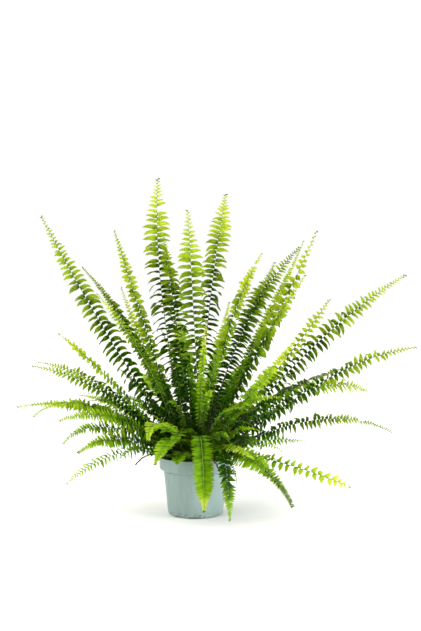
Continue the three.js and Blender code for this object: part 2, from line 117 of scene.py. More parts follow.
# The fronds that are nodes of their own.
FRONDS = [
    frond_of("tall_1", (-64, 30, 556), 76, 93, 60, 26, 0.34, 0.95, curl=0.3, taper=0.72, pitch=1.25,
        bare=0.25, wide=0.29),
    frond_of("tall_2", (-60, 110, 468), 78, 70, 25, 23, 0.55, 1.0, gap=0.34, curl=0.3, pitch=1.3, bare=0.2),
    frond_of("tall_3", (-12, -40, 494), 86, 84, -35, 25, 0.32, 0.75, root=(8, -8), gap=0.4, pitch=1.0,
        bare=0.3, rough=0.8),
    frond_of("tall_4", (50, 20, 528), 88, 80, -60, 23, 0.33, 0.95, root=(6, 10), curl=0.6, taper=0.78,
        pitch=1.0, bare=0.22, gap=0.35, wide=0.28, rough=0.7),
    frond_of("left_1", (-262, 40, 494), 55, 62, 45, 26, 0.5, 0.95, gap=0.39, wide=0.31, pitch=0.9,
        taper=0.6, hang=1.25),
    frond_of("left_2", (-206, 130, 412), 66, 40, 30, 12, 0.6, 0.95, gap=0.5, curl=0.6, wide=0.5),
    frond_of("left_3", (-145, 100, 475), 66, 68, 35, 13, 0.42, 0.7, gap=0.68, curl=0.4, wide=0.55,
        taper=0.76),
    frond_of("left_4", (-139, 160, 377), 60, 60, 35, 13, 0.35, 0.6, gap=0.7, curl=0.4, wide=0.5),
    frond_of("left_5", (-216, -60, 297), 46, 38, 35, 13, 0.38, 0.7, gap=0.55, wide=0.52, taper=0.8),
    frond_of("left_6", (-266, -20, 243), 45, 8, 40, 18, 0.42, 0.85, gap=0.42, curl=0.6, taper=0.65,
        wide=0.27),
    frond_of("left_7", (-272, 60, 245), 45, 5, 40, 15, 0.45, 0.85, gap=0.46, curl=0.6, taper=0.65,
        wide=0.28),
    frond_of("left_8", (-296, 10, 173), 48, -12, 45, 18, 0.4, 0.85, gap=0.44, curl=0.6, taper=0.45,
        wide=0.28),
    frond_of("left_9", (-255, -60, 165), 40, -45, 40, 18, 0.4, 0.8, root=(-35, -8), gap=0.32, taper=0.5,
        curl=0.2),
    frond_of("left_10", (-291, 100, 168), 42, -8, 30, 15, 0.5, 0.85, curl=0.3, wide=0.28),
    frond_of("left_11", (-220, 180, 178), 40, 0, 25, 14, 0.45, 0.8, wide=0.28, gap=0.42),
    frond_of("left_12", (-197, -160, 171), 40, -15, 50, 17, 0.5, 0.8, root=(-25, -25), gap=0.3, hang=0.5,
        wide=0.3),
    frond_of("left_13", (-203, -90, 127), 38, -50, 40, 16, 0.55, 0.9, root=(-34, -14), gap=0.3, hang=0.6,
        wide=0.3),
    frond_of("left_14", (-171, -150, 122), 33, -30, 55, 19, 0.5, 0.85, root=(-32, -30), gap=0.18, hang=0.35,
        wide=0.28, taper=0.5),
    frond_of("left_15", (-197, -100, 66), 33, -42, 45, 15, 0.42, 0.6, root=(-38, -22), gap=0.4, wide=0.18,
        hang=0.7, curl=0.5),
    frond_of("front_1", (-143, -150, 358), 80, 42, -30, 11, 0.25, 0.8, root=(-29, -18), gap=0.62, curl=0.8,
        bare=0.35),
    frond_of("front_2", (-66, -170, 143), 55, -85, 0, 19, 0.38, 0.55, gap=0.13, wide=0.24, hang=0.2,
        taper=0.5, bare=0.45, blunt=0.2, pitch=0.1, rough=0.5),
    frond_of("front_3", (-60, -110, 98), 60, -55, 0, 19, 0.3, 0.42, root=(-9, -22), pull=0.5, gap=0.13,
        wide=0.24, hang=0.2, taper=0.6, blunt=0.3, pitch=0.1, rough=0.4),
    frond_of("front_4", (-27, -85, 95), 45, -60, 0, 13, 0.32, 0.45, root=(-14, -42), pull=0.6, gap=0.16,
        wide=0.28, hang=0.2, taper=0.75, blunt=0.3, rough=0.5),
    frond_of("front_5", (15, -95, 23), 68, -88, 0, 18, 0.3, 0.42, root=(0, -34), pull=0.95, gap=0.13,
        hang=0.05, wide=0.18, blunt=0.2, pitch=0.1, fresh=0.5, bare=0.25, rough=0.3, taper=0.6),
    frond_of("front_6", (54, -110, 13), 50, -86, 0, 16, 0.6, 1.0, root=(16, -38), pull=0.75, gap=0.28,
        hang=0.5, wide=0.3, fresh=0.2, rough=0.6),
    frond_of("front_7", (66, -85, 63), 40, -75, 0, 6, 0.6, 0.9, root=(22, -34), pull=0.6, gap=0.6),
    frond_of("front_8", (145, -160, 45), 30, -55, -50, 25, 0.85, 0.5, root=(31, -28), gap=0.13, hang=0.2,
        taper=0.05, wide=0.2, pitch=0.1, fresh=0, rough=0.6),
    frond_of("front_9", (-44, -60, 186), 75, -35, 0, 8, 0.3, 0.6, root=(-10, -13), gap=0.8, wide=0.5,
        curl=1, taper=0.75, bare=0.3, brown=0.3),
    frond_of("front_10", (28, -100, 210), 75, 0, 20, 8, 0.15, 0.5, root=(9, -27), gap=0.8, curl=1, wide=0.5,
        bare=0.3, brown=0.3),
    frond_of("front_11", (18, -140, 315), 74, 50, 30, 8, 0.1, 0.4, root=(3, -19), gap=0.8, curl=1, wide=0.5,
        bare=0.2, brown=0.3),
    frond_of("right_1", (240, -100, 62), 22, -18, -55, 14, 0.15, 0.5, pull=0.25, gap=0.78, wide=0.55,
        brown=0.4, taper=0.8),
    frond_of("right_2", (139, -35, 90), 21, -18, -30, 11, 0.6, 0.9, curl=0.5, gap=0.5, wide=0.3),
    frond_of("right_3", (325, 10, 132), 30, -28, -45, 18, 0.5, 0.8, curl=0.6, wide=0.28, hang=0.8,
        fresh=-0.3, taper=0.45),
    frond_of("right_4", (186, 60, 110), 28, -8, -40, 14, 0.5, 0.8, root=(39, 18), gap=0.5, wide=0.26,
        curl=0.3),
    frond_of("right_5", (135, -90, 115), 30, -35, -35, 13, 0.42, 0.8, gap=0.5, wide=0.3, curl=0.3),
    frond_of("right_6", (298, 90, 193), 40, -25, -50, 20, 0.45, 0.8, root=(33, 9), gap=0.3, wide=0.18,
        curl=0.25, hang=1.3, taper=0.8),
    frond_of("right_7", (357, -30, 274), 34, 8, -50, 19, 0.48, 0.9, gap=0.44, curl=0.8, wide=0.3, brown=0.4,
        taper=0.7),
    frond_of("right_8", (268, 150, 230), 50, 12, -20, 16, 0.8, 1.0, curl=1.0),
    frond_of("right_9", (357, 50, 394), 46, 30, -60, 22, 0.42, 0.9, gap=0.4, curl=0.5, wide=0.27,
        pitch=0.9),
    frond_of("right_10", (244, 170, 355), 46, 48, -45, 13, 0.4, 0.7, root=(28, 21), gap=0.9, wide=0.5,
        brown=0.4, taper=0.8),
    frond_of("right_11", (152, -150, 293), 60, 50, 40, 12, 0.2, 0.55, gap=0.5, wide=0.42, curl=0.3,
        bare=0.15),
    frond_of("right_12", (207, 60, 471), 68, 66, -60, 18, 0.35, 0.7, root=(26, 10), gap=0.8, wide=0.6,
        curl=0.4),
    frond_of("right_13", (175, -60, 390), 66, 55, -60, 15, 0.33, 0.9, root=(22, -9), gap=0.62, wide=0.55,
        curl=0.7, bare=0.15),
    frond_of("right_14", (192, 130, 460), 68, 62, -50, 9, 0.4, 0.8, root=(21, 15), gap=0.6, wide=0.5),
    frond_of("right_15", (176, 40, 441), 78, 44, -50, 24, 0.66, 1.0, root=(17, 5), gap=0.31, pitch=1.3,
        wide=0.22, bare=0.12),
    frond_of("right_16", (143, 170, 423), 74, 55, -40, 19, 0.65, 1.0, pitch=1.2, wide=0.3, bare=0.12),
    frond_of("right_17", (107, -40, 425), 80, 58, -75, 13, 0.27, 0.6, root=(14, -2), gap=0.5, wide=0.55,
        bare=0.45),
    frond_of("back_1", (59, 190, 350), 72, 55, 0, 14, 0.3, 0.6),
    frond_of("back_2", (-40, 230, 330), 66, 35, 0, 21, 0.4, 0.85),
    frond_of("back_3", (-120, 260, 215), 50, 0, 0, 21, 0.4, 0.9),
    frond_of("back_4", (10, 300, 190), 46, -15, 0, 22, 0.35, 0.85),
    frond_of("back_5", (110, 270, 240), 50, 8, 0, 21, 0.4, 0.9, curl=0.2),
    frond_of("back_6", (150, 200, 130), 35, -25, 0, 19, 0.35, 0.85),
    frond_of("back_7", (-150, 190, 110), 35, -30, 0, 19, 0.3, 0.8),
    frond_of("back_8", (50, 240, 80), 30, -50, 0, 17, 0.25, 0.7),
]
# Small fronds that have no node: arches low at the front, and wisps among the feet of the others.
LOW_FRONDS = [
    frond_of("arch_1", (-38, -98, 122), 66, -42, 0, 14, 0.35, 0.6, root=(6, -24), pull=0.6, gap=0.18,
        hang=0.2, blunt=0.3),
    frond_of("arch_2", (92, -125, 108), 38, -20, -30, 9, 0.2, 0.0, root=(12, -36), pull=0.45, gap=0.26,
        wide=0.4, hang=0.6),
    frond_of("arch_3", (52, -110, 140), 60, -10, 0, 10, 0.4, 0.7, root=(20, -26), pull=0.5, gap=0.3,
        curl=0.3),
    frond_of("wisp_1", (-58, 30, 300), 80, 55, 25, 10, 0.6, 0.95, root=(-16, 4), gap=0.6, curl=0.8,
        wide=0.4, bare=0.2),
    frond_of("wisp_2", (-85, 10, 250), 74, 50, 35, 10, 0.55, 0.9, root=(-20, 2), gap=0.6, curl=0.8,
        wide=0.4, bare=0.2),
    frond_of("arch_4", (-70, -80, 170), 60, 10, 20, 11, 0.5, 0.8, root=(-20, -20), gap=0.3, curl=0.4),
    frond_of("wisp_3", (-128, 20, 236), 66, 35, 30, 12, 0.6, 0.95, root=(-24, -2), gap=0.42, curl=0.6,
        bare=0.15),
    frond_of("wisp_4", (-112, -20, 196), 58, 20, 30, 12, 0.55, 0.95, root=(-28, -8), gap=0.42, curl=0.6,
        bare=0.15),
    frond_of("wisp_5", (-44, 70, 250), 78, 60, 40, 13, 0.8, 1.0, root=(-12, 12), gap=0.38, curl=0.5,
        bare=0.1),
    frond_of("wisp_6", (-90, 60, 262), 72, 52, 35, 13, 0.7, 1.0, root=(-19, 8), gap=0.4, curl=0.5,
        bare=0.1),
    frond_of("wisp_7", (162, 30, 172), 40, 5, -25, 13, 0.6, 0.95, root=(30, 4), gap=0.4, curl=0.5,
        bare=0.15),
]
# Two old stalks that have lost their leaflets, bent over the rim.
DEAD_STALKS = [
    frond_of("dead_stalk_left", (-98, -12, 81), 30, -55, 0, 0, 1.0, 1.0, root=(-44, -4), pull=0.4),
    frond_of("dead_stalk_front", (39, -76, 81), 35, -60, 0, 0, 1.0, 1.0, root=(9, -42), pull=0.5),
]


# ---- Small sums ----


def linear(colour):
    """A hex sRGB colour as the linear colour that shaders take."""
    parts = [int(colour[i:i + 2], 16) / 255 for i in (1, 3, 5)]
    return tuple(p / 12.92 if p <= 0.04045 else ((p + 0.055) / 1.055) ** 2.4 for p in parts)


def opaque(colour):
    """A colour with full alpha."""
    return (*colour[:3], 1.0)


def smoothstep(low, high, value):
    """0 below low, 1 above high, and a smooth rise between them."""
    share = np.clip((value - low) / (high - low), 0, 1)
    return share * share * (3 - 2 * share)


def mix(low, high, share):
    """What lies at this share of the way from low to high."""
    return low + (high - low) * share


def unit(vectors):
    """The same directions, each with the length 1."""
    return vectors / np.linalg.norm(vectors, axis=-1, keepdims=True)


def dot(a, b):
    return np.sum(a * b, axis=-1, keepdims=True)


def deep(values):
    """One value for each leaflet, shaped to spread over its stations and over x, y and z."""
    return np.asarray(values)[:, None, None]


def soil_height(radius):
    """Height of the soil at a distance from the pot's axis, in millimetres."""
    fall = min(1, (radius / SOIL_RADIUS) ** 2)
    return mix(SOIL_CROWN, SOIL_EDGE, fall)


# ---- The line that a stalk follows ----


def heading(azimuth, elevation):
    """The direction at an azimuth and an elevation, in radians."""
    level = math.cos(elevation)
    return np.array([level * math.cos(azimuth), level * math.sin(azimuth), math.sin(elevation)])


def crown_point(frond):
    """Where a frond stands: in the azimuth of its tip, the flatter the further out."""
    if frond.root:
        return np.array([*frond.root, soil_height(math.hypot(*frond.root))])
    x, y, z = frond.tip
    slope = max(0, math.atan2(z - SOIL_CROWN, math.hypot(x, y)) / (math.pi / 2))
    radius = CROWN_INNER + (CROWN_OUTER - CROWN_INNER) * (1 - slope) ** CROWN_SPREAD
    azimuth = math.atan2(y, x)
    return np.array([radius * math.cos(azimuth), radius * math.sin(azimuth), soil_height(radius)])


def bezier(corners, t):
    """Points of a curve with four corners, at t from 0 to 1."""
    t = t[:, None]
    weights = ((1 - t) ** 3, 3 * t * (1 - t) ** 2, 3 * t * t * (1 - t), t ** 3)
    return sum(weight * corner for weight, corner in zip(weights, corners))


def bezier_slope(corners, t):
    """How the same curve moves on at t."""
    t = t[:, None]
    steps = np.diff(corners, axis=0)
    weights = (3 * (1 - t) ** 2, 6 * t * (1 - t), 3 * t * t)
    return sum(weight * step for weight, step in zip(weights, steps))


def walk(points):
    """How far along a line each of its points is."""
    steps = np.linalg.norm(np.diff(points, axis=0), axis=1)
    return np.concatenate([[0], np.cumsum(steps)])


def rib_of(frond, shares):
    """The rib at shares of its length: centres in millimetres, and the directions there."""
    root = crown_point(frond)
    azimuth = math.atan2(frond.tip[1] - root[1], frond.tip[0] - root[0])
    pull = np.linalg.norm(frond.tip - root) * frond.pull
    start = heading(azimuth, frond.rise)
    end = heading(azimuth, frond.fall)
    corners = np.array([root, root + start * pull, frond.tip - end * pull, frond.tip])
    fine = np.linspace(0, 1, 241)
    walked = walk(bezier(corners, fine))
    t = np.interp(np.asarray(shares) * walked[-1], walked, fine)
    ahead = unit(bezier_slope(corners, t))
    side = np.array([math.sin(azimuth), -math.cos(azimuth), 0])
    side = unit(side - dot(ahead, side) * ahead)
    up = np.cross(side, ahead)
    turn = frond.turn * smoothstep(0, TWIST_END, np.asarray(shares))[:, None]
    side = side * np.cos(turn) + up * np.sin(turn)
    return Rib(np.asarray(shares), bezier(corners, t), ahead, side, np.cross(side, ahead), walked[-1])


# ---- Meshes ----


class Skin:
    """Points and faces of one piece, gathered shape by shape, with what its materials read.

    The place attribute says where a point is on its own leaflet or stalk. Its first number is how
    far along it the point is, in metres. On a leaflet the others are how far across it that is,
    from -1 to 1 with 0 at the midrib, and the share of its length. On a stalk they are the sides of
    its section, from -1 to 1. Age is the frond's age there, and on leaflets near the crown it also
    carries painted shade. Chance is one number drawn for the whole leaflet.
    """

    def __init__(self):
        self.points = []
        self.faces = []
        self.slots = []
        self.place = []
        self.age = []
        self.chance = []
        self.count = 0

    def add(self, points, faces, slot, place=None, age=0.0, chance=0.5):
        """Adds a shape: its points in millimetres; the corners of its faces, in one array for each
        kind of face; and the slots of all the faces in that order, or one for all."""
        points = np.asarray(points, float).reshape(-1, 3)
        self.points.append(points * MM)
        for kind in faces:
            self.faces.extend((kind + self.count).tolist())
        count = sum(len(kind) for kind in faces)
        self.slots.extend(np.broadcast_to(slot, count).tolist())
        none = np.zeros((len(points), 3))
        self.place.append(none if place is None else np.asarray(place, float).reshape(-1, 3))
        self.age.append(np.broadcast_to(age, len(points)))
        self.chance.append(np.broadcast_to(chance, len(points)))
        self.count += len(points)

    def build(self, name, materials, crease=math.radians(70)):
        """The finished object, shaded smooth but for edges sharper than the crease."""
        mesh = bpy.data.meshes.new(name)
        mesh.from_pydata(np.concatenate(self.points).tolist(), [], self.faces)
        mesh.polygons.foreach_set("material_index", self.slots)
        mesh.polygons.foreach_set("use_smooth", [True] * len(self.faces))
        place = mesh.attributes.new("place", "FLOAT_VECTOR", "POINT")
        place.data.foreach_set("vector", np.concatenate(self.place).astype(np.float32).ravel())
        for label, values in (("age", self.age), ("chance", self.chance)):
            layer = mesh.attributes.new(label, "FLOAT", "POINT")
            layer.data.foreach_set("value", np.concatenate(values).astype(np.float32))
        mesh.set_sharp_from_angle(angle=crease)
        for material in materials:
            mesh.materials.append(material)
        mesh.update()
        piece = bpy.data.objects.new(name, mesh)
        bpy.context.scene.collection.objects.link(piece)
        return piece


def ring_faces(rings, around):
    """Faces of a closed stack of rings of points: bands from each ring to the next, and triangles
    round a middle point at each end. The middle points come after the rings, the first end's first."""
    here = np.arange(around)
    after = (here + 1) % around
    band = np.stack([here, after, after + around, here + around], axis=1)
    bands = (band + np.arange(rings - 1)[:, None, None] * around).reshape(-1, 4)
    last = (rings - 1) * around
    middle = np.full(around, rings * around)
    first_cap = np.stack([middle, after, here], axis=1)
    last_cap = np.stack([middle + 1, last + here, last + after], axis=1)
    return bands, np.concatenate([first_cap, last_cap])


def tube(skin, centres, sides, ups, widths, heights, slot, age, around=8, groove=0.0):
    """A stalk along centres, closed at both ends, with a groove along its upper face if asked."""
    turn = np.linspace(0, 2 * math.pi, around, endpoint=False)
    across = np.cos(turn)[None, :, None]
    upward = np.sin(turn)[None, :, None]
    upward = np.where(upward > 0.99, upward * (1 - groove), upward)
    widths = np.asarray(widths).reshape(-1, 1, 1)
    heights = np.asarray(heights).reshape(-1, 1, 1)
    rings = centres[:, None] + sides[:, None] * across * widths + ups[:, None] * upward * heights
    along = walk(centres) * MM
    place = np.stack(np.broadcast_arrays(along[:, None], across[..., 0], upward[..., 0]), axis=-1)
    points = np.concatenate([rings.reshape(-1, 3), centres[:1], centres[-1:]])
    places = np.concatenate([place.reshape(-1, 3), [[along[0], 0, 0]], [[along[-1], 0, 0]]])
    ages = np.concatenate([np.repeat(age, around), [age[0], age[-1]]])
    skin.add(points, ring_faces(len(centres), around), slot, places, ages)


# The ear at a leaflet's base, as a share of its half width, and the wave along its edge, as a share
# of its length.
EAR = 0.3
EDGE_WAVE = 0.03
# Stations along a leaflet, the last of them its point: finer for those long enough to show it.
LONG_STATIONS = (0, 0.05, 0.13, 0.25, 0.4, 0.56, 0.72, 0.87, 1)
SHORT_STATIONS = (0, 0.1, 0.35, 0.7, 1)

Leaflets = namedtuple(
    "Leaflets",
    "foot out ahead up hand length width forward hang hook lift pitch twist fold ripple age chance",
)


def leaflet_outline(stations, ear, blunt):
    """How far a leaflet's two edges are from its midrib, as shares of its half width: the edge
    towards the frond's tip, which has a small ear at the base, and the edge towards the soil."""
    near = mix(0.5, 1.1, smoothstep(0, 0.16, stations)) * (1 - stations ** (2.1 + 3 * blunt)) ** 0.85
    bump = ear * np.exp(-((stations - 0.07) / 0.06) ** 2)
    far = mix(0.35, 0.95, smoothstep(0, 0.22, stations)) * (1 - stations ** (1.7 + 3 * blunt)) ** 0.9
    return near + bump, far


def blade_points(leaflets, stations, thickness, blunt):
    """Points of closed, lens-thin blades: two faces that meet at the edge, folded at the midrib."""
    count = len(leaflets.length)
    u = stations[None, :, None]
    along = unit(
        leaflets.out[:, None]
        + leaflets.ahead[:, None] * deep(leaflets.forward) * (1 - 0.5 * u)
        + leaflets.ahead[:, None] * deep(leaflets.hook) * u ** 2
        + leaflets.up[:, None] * deep(leaflets.lift) * (1 - u)
        + DOWN * deep(leaflets.hang) * u ** 1.3
    )
    steps = np.diff(stations)[None, :, None] * (along[:, 1:] + along[:, :-1]) / 2
    walked = np.concatenate([np.zeros((count, 1, 3)), np.cumsum(steps, axis=1)], axis=1)
    middle = leaflets.foot[:, None] + walked * deep(leaflets.length)
    hand = deep(leaflets.hand)
    across = leaflets.ahead[:, None] * hand
    across = unit(across - dot(across, along) * along)
    normal = np.cross(along, across)
    tip_turn = deep(leaflets.pitch) * hand + deep(leaflets.twist) * u ** 1.5
    across, normal = (
        across * np.cos(tip_turn) + normal * np.sin(tip_turn),
        normal * np.cos(tip_turn) - across * np.sin(tip_turn),
    )
    half = deep(leaflets.width) / 2
    near, far = (half * edge[None, :, None] for edge in leaflet_outline(stations, EAR, blunt))
    right = np.where(hand > 0, near, far)
    left = np.where(hand > 0, far, near)
    fold = deep(leaflets.fold)
    thick = thickness / 2 * (1 - 0.6 * u)
    top = middle + normal * thick
    bottom = middle - normal * thick
    ripple = np.sin(u * 9 + deep(leaflets.ripple))
    wave = deep(leaflets.length) * EDGE_WAVE * ripple * smoothstep(0, 0.4, u)
    rights = middle + across * right * np.cos(fold) + normal * (wave - right * np.sin(fold))
    lefts = middle - across * left * np.cos(fold) - normal * (wave + left * np.sin(fold))
    rows = np.stack([lefts, top, rights, bottom], axis=2)[:, :-1]
    return np.concatenate([rows.reshape(count, -1, 3), middle[:, -1:]], axis=1)


def blade_places(leaflets, stations):
    """The place of each point of the blades, in the order of blade_points."""
    count = len(leaflets.length)
    share = stations[:-1][None, :, None]
    along = share * deep(leaflets.length) * MM
    across = np.array([-1.0, 0.0, 1.0, 0.0]) * deep(leaflets.hand)
    rows = np.stack(np.broadcast_arrays(along, across, share), axis=-1)
    tips = np.stack([leaflets.length * MM, np.zeros(count), np.ones(count)], axis=-1)[:, None]
    return np.concatenate([rows.reshape(count, -1, 3), tips], axis=1)


def blade_faces(count, rows, upper, under):
    """Faces of blades that each have rows of four points and a tip, and the slots of the faces."""
    faces = []
    for row in range(rows - 1):
        a = row * 4
        b = a + 4
        faces += [(a, b, b + 1, a + 1), (a + 1, b + 1, b + 2, a + 2)]
        faces += [(a, a + 3, b + 3, b), (a + 3, a + 2, b + 2, b + 3)]
    faces.append((0, 1, 2, 3))
    a = (rows - 1) * 4
    tip = rows * 4
    ends = [(a, tip, a + 1), (a + 1, tip, a + 2), (a, a + 3, tip), (a + 3, a + 2, tip)]
    offsets = (np.arange(count) * (tip + 1))[:, None, None]
    quads = (np.array(faces)[None] + offsets).reshape(-1, 4)
    tip_faces = (np.array(ends)[None] + offsets).reshape(-1, 3)
    four = [upper, upper, under, under]
    slots = np.concatenate([np.tile([*four * (rows - 1), upper], count), np.tile(four, count)])
    return (quads, tip_faces), slots


def add_leaflets(skin, leaflets, stations, thickness, blunt, upper, under):
    """Adds leaflets with these stations, and what their materials read."""
    stations = np.array(stations)
    points = blade_points(leaflets, stations, thickness, blunt)
    count, per_blade, _ = points.shape
    faces, slots = blade_faces(count, len(stations) - 1, upper, under)
    ages = np.repeat(leaflets.age, per_blade)
    chances = np.repeat(leaflets.chance, per_blade)
    skin.add(points, faces, slots, blade_places(leaflets, stations), ages, chances)


def add_scales(skin, rib, radii, rng, count, length, slot):
    """Papery brown scales: thin slivers that stand off a stalk and point along it."""
    which = rng.integers(0, len(rib.share), count)
    turn = rng.uniform(0, 2 * math.pi, count)[:, None]
    off = rib.side[which] * np.cos(turn) + rib.up[which] * np.sin(turn)
    round_it = np.cross(rib.ahead[which], off)
    foot = rib.centre[which] + off * radii[which][:, None] * 0.9
    long = length * rng.uniform(0.5, 1.2, count)[:, None]
    lean = rng.uniform(0.25, 0.9, count)[:, None]
    tip = foot + unit(rib.ahead[which] + off * lean + round_it * (lean - 0.5)) * long
    wide = round_it * long * 0.13
    points = np.stack([foot - wide, foot + wide, foot + off * 0.25 - rib.ahead[which] * 0.3, tip], axis=1)
    faces = np.array([(0, 1, 2), (0, 3, 1), (1, 3, 2), (2, 3, 0)])
    corners = (faces[None] + (np.arange(count) * 4)[:, None, None]).reshape(-1, 3)
    skin.add(points, [corners], slot, None, 1.0, np.repeat(rng.random(count), 4))


# ---- Materials ----

# Sizes of the patterns in millimetres; where there are three, they are across, across and along.
# Side veins slant: at the leaflet's edge they are VEIN_SLANT further along than at the midrib.
MOTTLE_SIZE = 9
LEAF_GRAIN_SIZE = 0.8
VEIN_SPACING = 1.1
VEIN_SLANT = 1.6
SPORE_SPACING = 1.6
STREAK_LENGTH = 14
DRY_STREAK_LENGTH = 7
FLOW_MARK = (16, 16, 70)
DUST_SPECK = (6, 6, 2.5)
SCUFF = (1.2, 1.2, 11)
PEAT_GRAIN_SIZE = 2.4
PAINT_MOTTLE_SIZE = 60
# The dust fades between these heights above the foot.
DUST_FULL = 5
DUST_GONE = 11
# Spore dots stand at this share of the way from the midrib to the edge.
SPORE_ROW = 0.62
# Painted light: from this far from the crown a leaf's hue is shifted warmer, as where more light
# falls on it, and fully so further out. The shift is an angle in degrees.
PAINTED_LIGHT_FROM = 110
PAINTED_LIGHT_FULL = 270
PAINTED_LIGHT_HUE = 15


def feed(node, inputs):
    """Gives a node's inputs, by name or in their order, the value or the socket that feeds each."""
    pairs = inputs.items() if isinstance(inputs, dict) else enumerate(inputs)
    for key, value in pairs:
        if isinstance(value, bpy.types.NodeSocket):
            node.id_data.links.new(value, node.inputs[key])
        else:
            node.inputs[key].default_value = value


def add_node(tree, kind, inputs=(), stops=(), **options):
    """One shader node with its options and what feeds its inputs, and a ramp with its stops."""
    node = tree.nodes.new(f"ShaderNode{kind}")
    for option, value in options.items():
        setattr(node, option, value)
    feed(node, inputs)
    if stops:
        ramp = node.color_ramp.elements
        while len(ramp) < len(stops):
            ramp.new(0.5)
        for element, (position, colour) in zip(ramp, stops):
            element.position = position
            element.color = opaque(colour)
    return node


def new_material(name):
    """An empty material, its nodes, and the principled shader that feeds its output."""
    material = bpy.data.materials.new(name)
    material.use_nodes = True
    tree = material.node_tree
    tree.nodes.clear()
    shader = add_node(tree, "BsdfPrincipled")
    add_node(tree, "OutputMaterial", {"Surface": shader.outputs[0]})
    return material, tree, shader


def per_metre(*sizes):
    """How often patterns of these sizes, in millimetres, repeat in a metre."""
    return tuple(1 / (size * MM) for size in sizes)


def leaf_blade(name, settings, underside):
    """Living fern leaf: a waxy cuticle over thin green tissue, which lets light glow through.

    It goes from yellow-green where it is young to a deep green where it is old. It is darker at a
    leaflet's foot and edge as painted shade, and a warmer green further from the crown as painted
    light. The midrib and the forked side veins are paler and sunk on the upper face. The lower face
    is paler and duller, and has a row of brown spore dots on each side of the midrib of old leaflets.
    """
    material, tree, shader = new_material(name)
    place = add_node(tree, "Attribute", attribute_name="place").outputs["Vector"]
    age = add_node(tree, "Attribute", attribute_name="age").outputs["Fac"]
    chance = add_node(tree, "Attribute", attribute_name="chance").outputs["Fac"]
    along, side, share = add_node(tree, "SeparateXYZ", [place]).outputs
    across = add_node(tree, "Math", [side], operation="ABSOLUTE").outputs[0]
    where = add_node(tree, "TexCoord").outputs["Object"]
    mottling = {"Vector": where, "Scale": per_metre(MOTTLE_SIZE)[0], "Detail": 3.0}
    mottle = add_node(tree, "TexNoise", mottling).outputs["Fac"]

    # Age, a little different for each leaflet and each patch of it; and painted shade, which darkens
    # each leaflet at its foot and along its edge.
    drift = add_node(tree, "Math", [chance, 0.18, -0.09], operation="MULTIPLY_ADD").outputs[0]
    by_patch = add_node(tree, "Math", [mottle, 0.5, -0.25], operation="MULTIPLY_ADD")
    foot_painted_shade = add_node(tree, "MapRange", [share, 0.0, 0.35, 0.22, 0.0], interpolation_type="SMOOTHSTEP")
    edge_painted_shade = add_node(tree, "MapRange", [across, 0.7, 1.0, 0.0, 0.16], interpolation_type="SMOOTHSTEP")
    for more in (by_patch, foot_painted_shade, edge_painted_shade):
        drift = add_node(tree, "Math", [drift, more.outputs[0]], operation="ADD").outputs[0]
    ripe = add_node(tree, "Math", [age, drift], operation="ADD", use_clamp=True).outputs[0]
    greens = [
        (0.0, settings.just_unrolled),
        (0.22, settings.young),
        (0.48, settings.grown),
        (0.75, settings.mature),
        (1.0, settings.old),
    ]
    green = add_node(tree, "ValToRGB", [ripe], greens).outputs["Color"]

    # Side veins, slanting to the leaflet's point, as darker and paler bars, and a pale midrib.
    slant = add_node(tree, "Math", [across, -VEIN_SLANT * MM, along], operation="MULTIPLY_ADD").outputs[0]
    bar_turns = 2 * math.pi * per_metre(VEIN_SPACING)[0]
    bars = add_node(tree, "Math", [slant, bar_turns], operation="MULTIPLY").outputs[0]
    veins = add_node(tree, "Math", [bars], operation="SINE").outputs[0]
    midrib = add_node(tree, "MapRange", [across, 0.03, 0.13, 1.0, 0.0], interpolation_type="SMOOTHSTEP")
    vein_tint = add_node(tree, "MapRange", [veins, 0.2, 1.0, 0.0, 0.22]).outputs[0]
    paler = add_node(tree, "Math", [vein_tint, midrib.outputs[0]], operation="MAXIMUM").outputs[0]
    faded = add_node(tree, "MapRange", [ripe, 0.3, 1.0, 0.5, 0.08]).outputs[0]
    pale_share = add_node(tree, "Math", [paler, faded], operation="MULTIPLY").outputs[0]
    veining = {0: pale_share, 6: green, 7: opaque(settings.vein)}
    veined = add_node(tree, "Mix", veining, data_type="RGBA").outputs[2]

    # Painted light: the further a leaf is from the crown, the warmer its hue, as where more light falls.
    crown = (0, 0, SOIL_CROWN * MM)
    outward = add_node(tree, "VectorMath", [where, crown], operation="DISTANCE").outputs["Value"]
    painted_light_share = add_node(tree, "MapRange", [outward, PAINTED_LIGHT_FROM * MM, PAINTED_LIGHT_FULL * MM]).outputs[0]
    painted_light = {"Fac": painted_light_share, "Color": veined, "Hue": 0.5 - PAINTED_LIGHT_HUE / 360, "Saturation": 0.97}
    surface = add_node(tree, "HueSaturation", painted_light).outputs[0]
    if underside:
        paling = {0: 0.15, 6: surface, 7: opaque(settings.underside)}
        dull = add_node(tree, "Mix", paling, data_type="RGBA").outputs[2]
        surface = spore_dots(tree, settings, dull, along, across, age)

    graining = {"Vector": where, "Scale": per_metre(LEAF_GRAIN_SIZE)[0], "Detail": 2.0}
    grain = add_node(tree, "TexNoise", graining).outputs["Fac"]
    relief = add_node(tree, "Math", [grain, 0.4, paler], operation="MULTIPLY_ADD").outputs[0]
    sinking = {"Strength": 0.5, "Distance": 0.12 * MM, "Height": relief}
    bump = add_node(tree, "Bump", sinking, invert=not underside)
    smooth = settings.leaf_roughness - 0.07
    rough = settings.leaf_roughness + (0.2 if underside else 0.07)
    wax = add_node(tree, "MapRange", [mottle, 0.3, 0.7, smooth, rough])
    feed(shader, {
        "Base Color": surface,
        "Normal": bump.outputs["Normal"],
        "Roughness": wax.outputs[0],
        "IOR": 1.42,
        "Specular IOR Level": 0.1,
        "Subsurface Weight": settings.leaf_glow,
        "Subsurface Radius": (0.7, 1.0, 0.2),
        "Subsurface Scale": 1.2 * MM,
    })
    return material


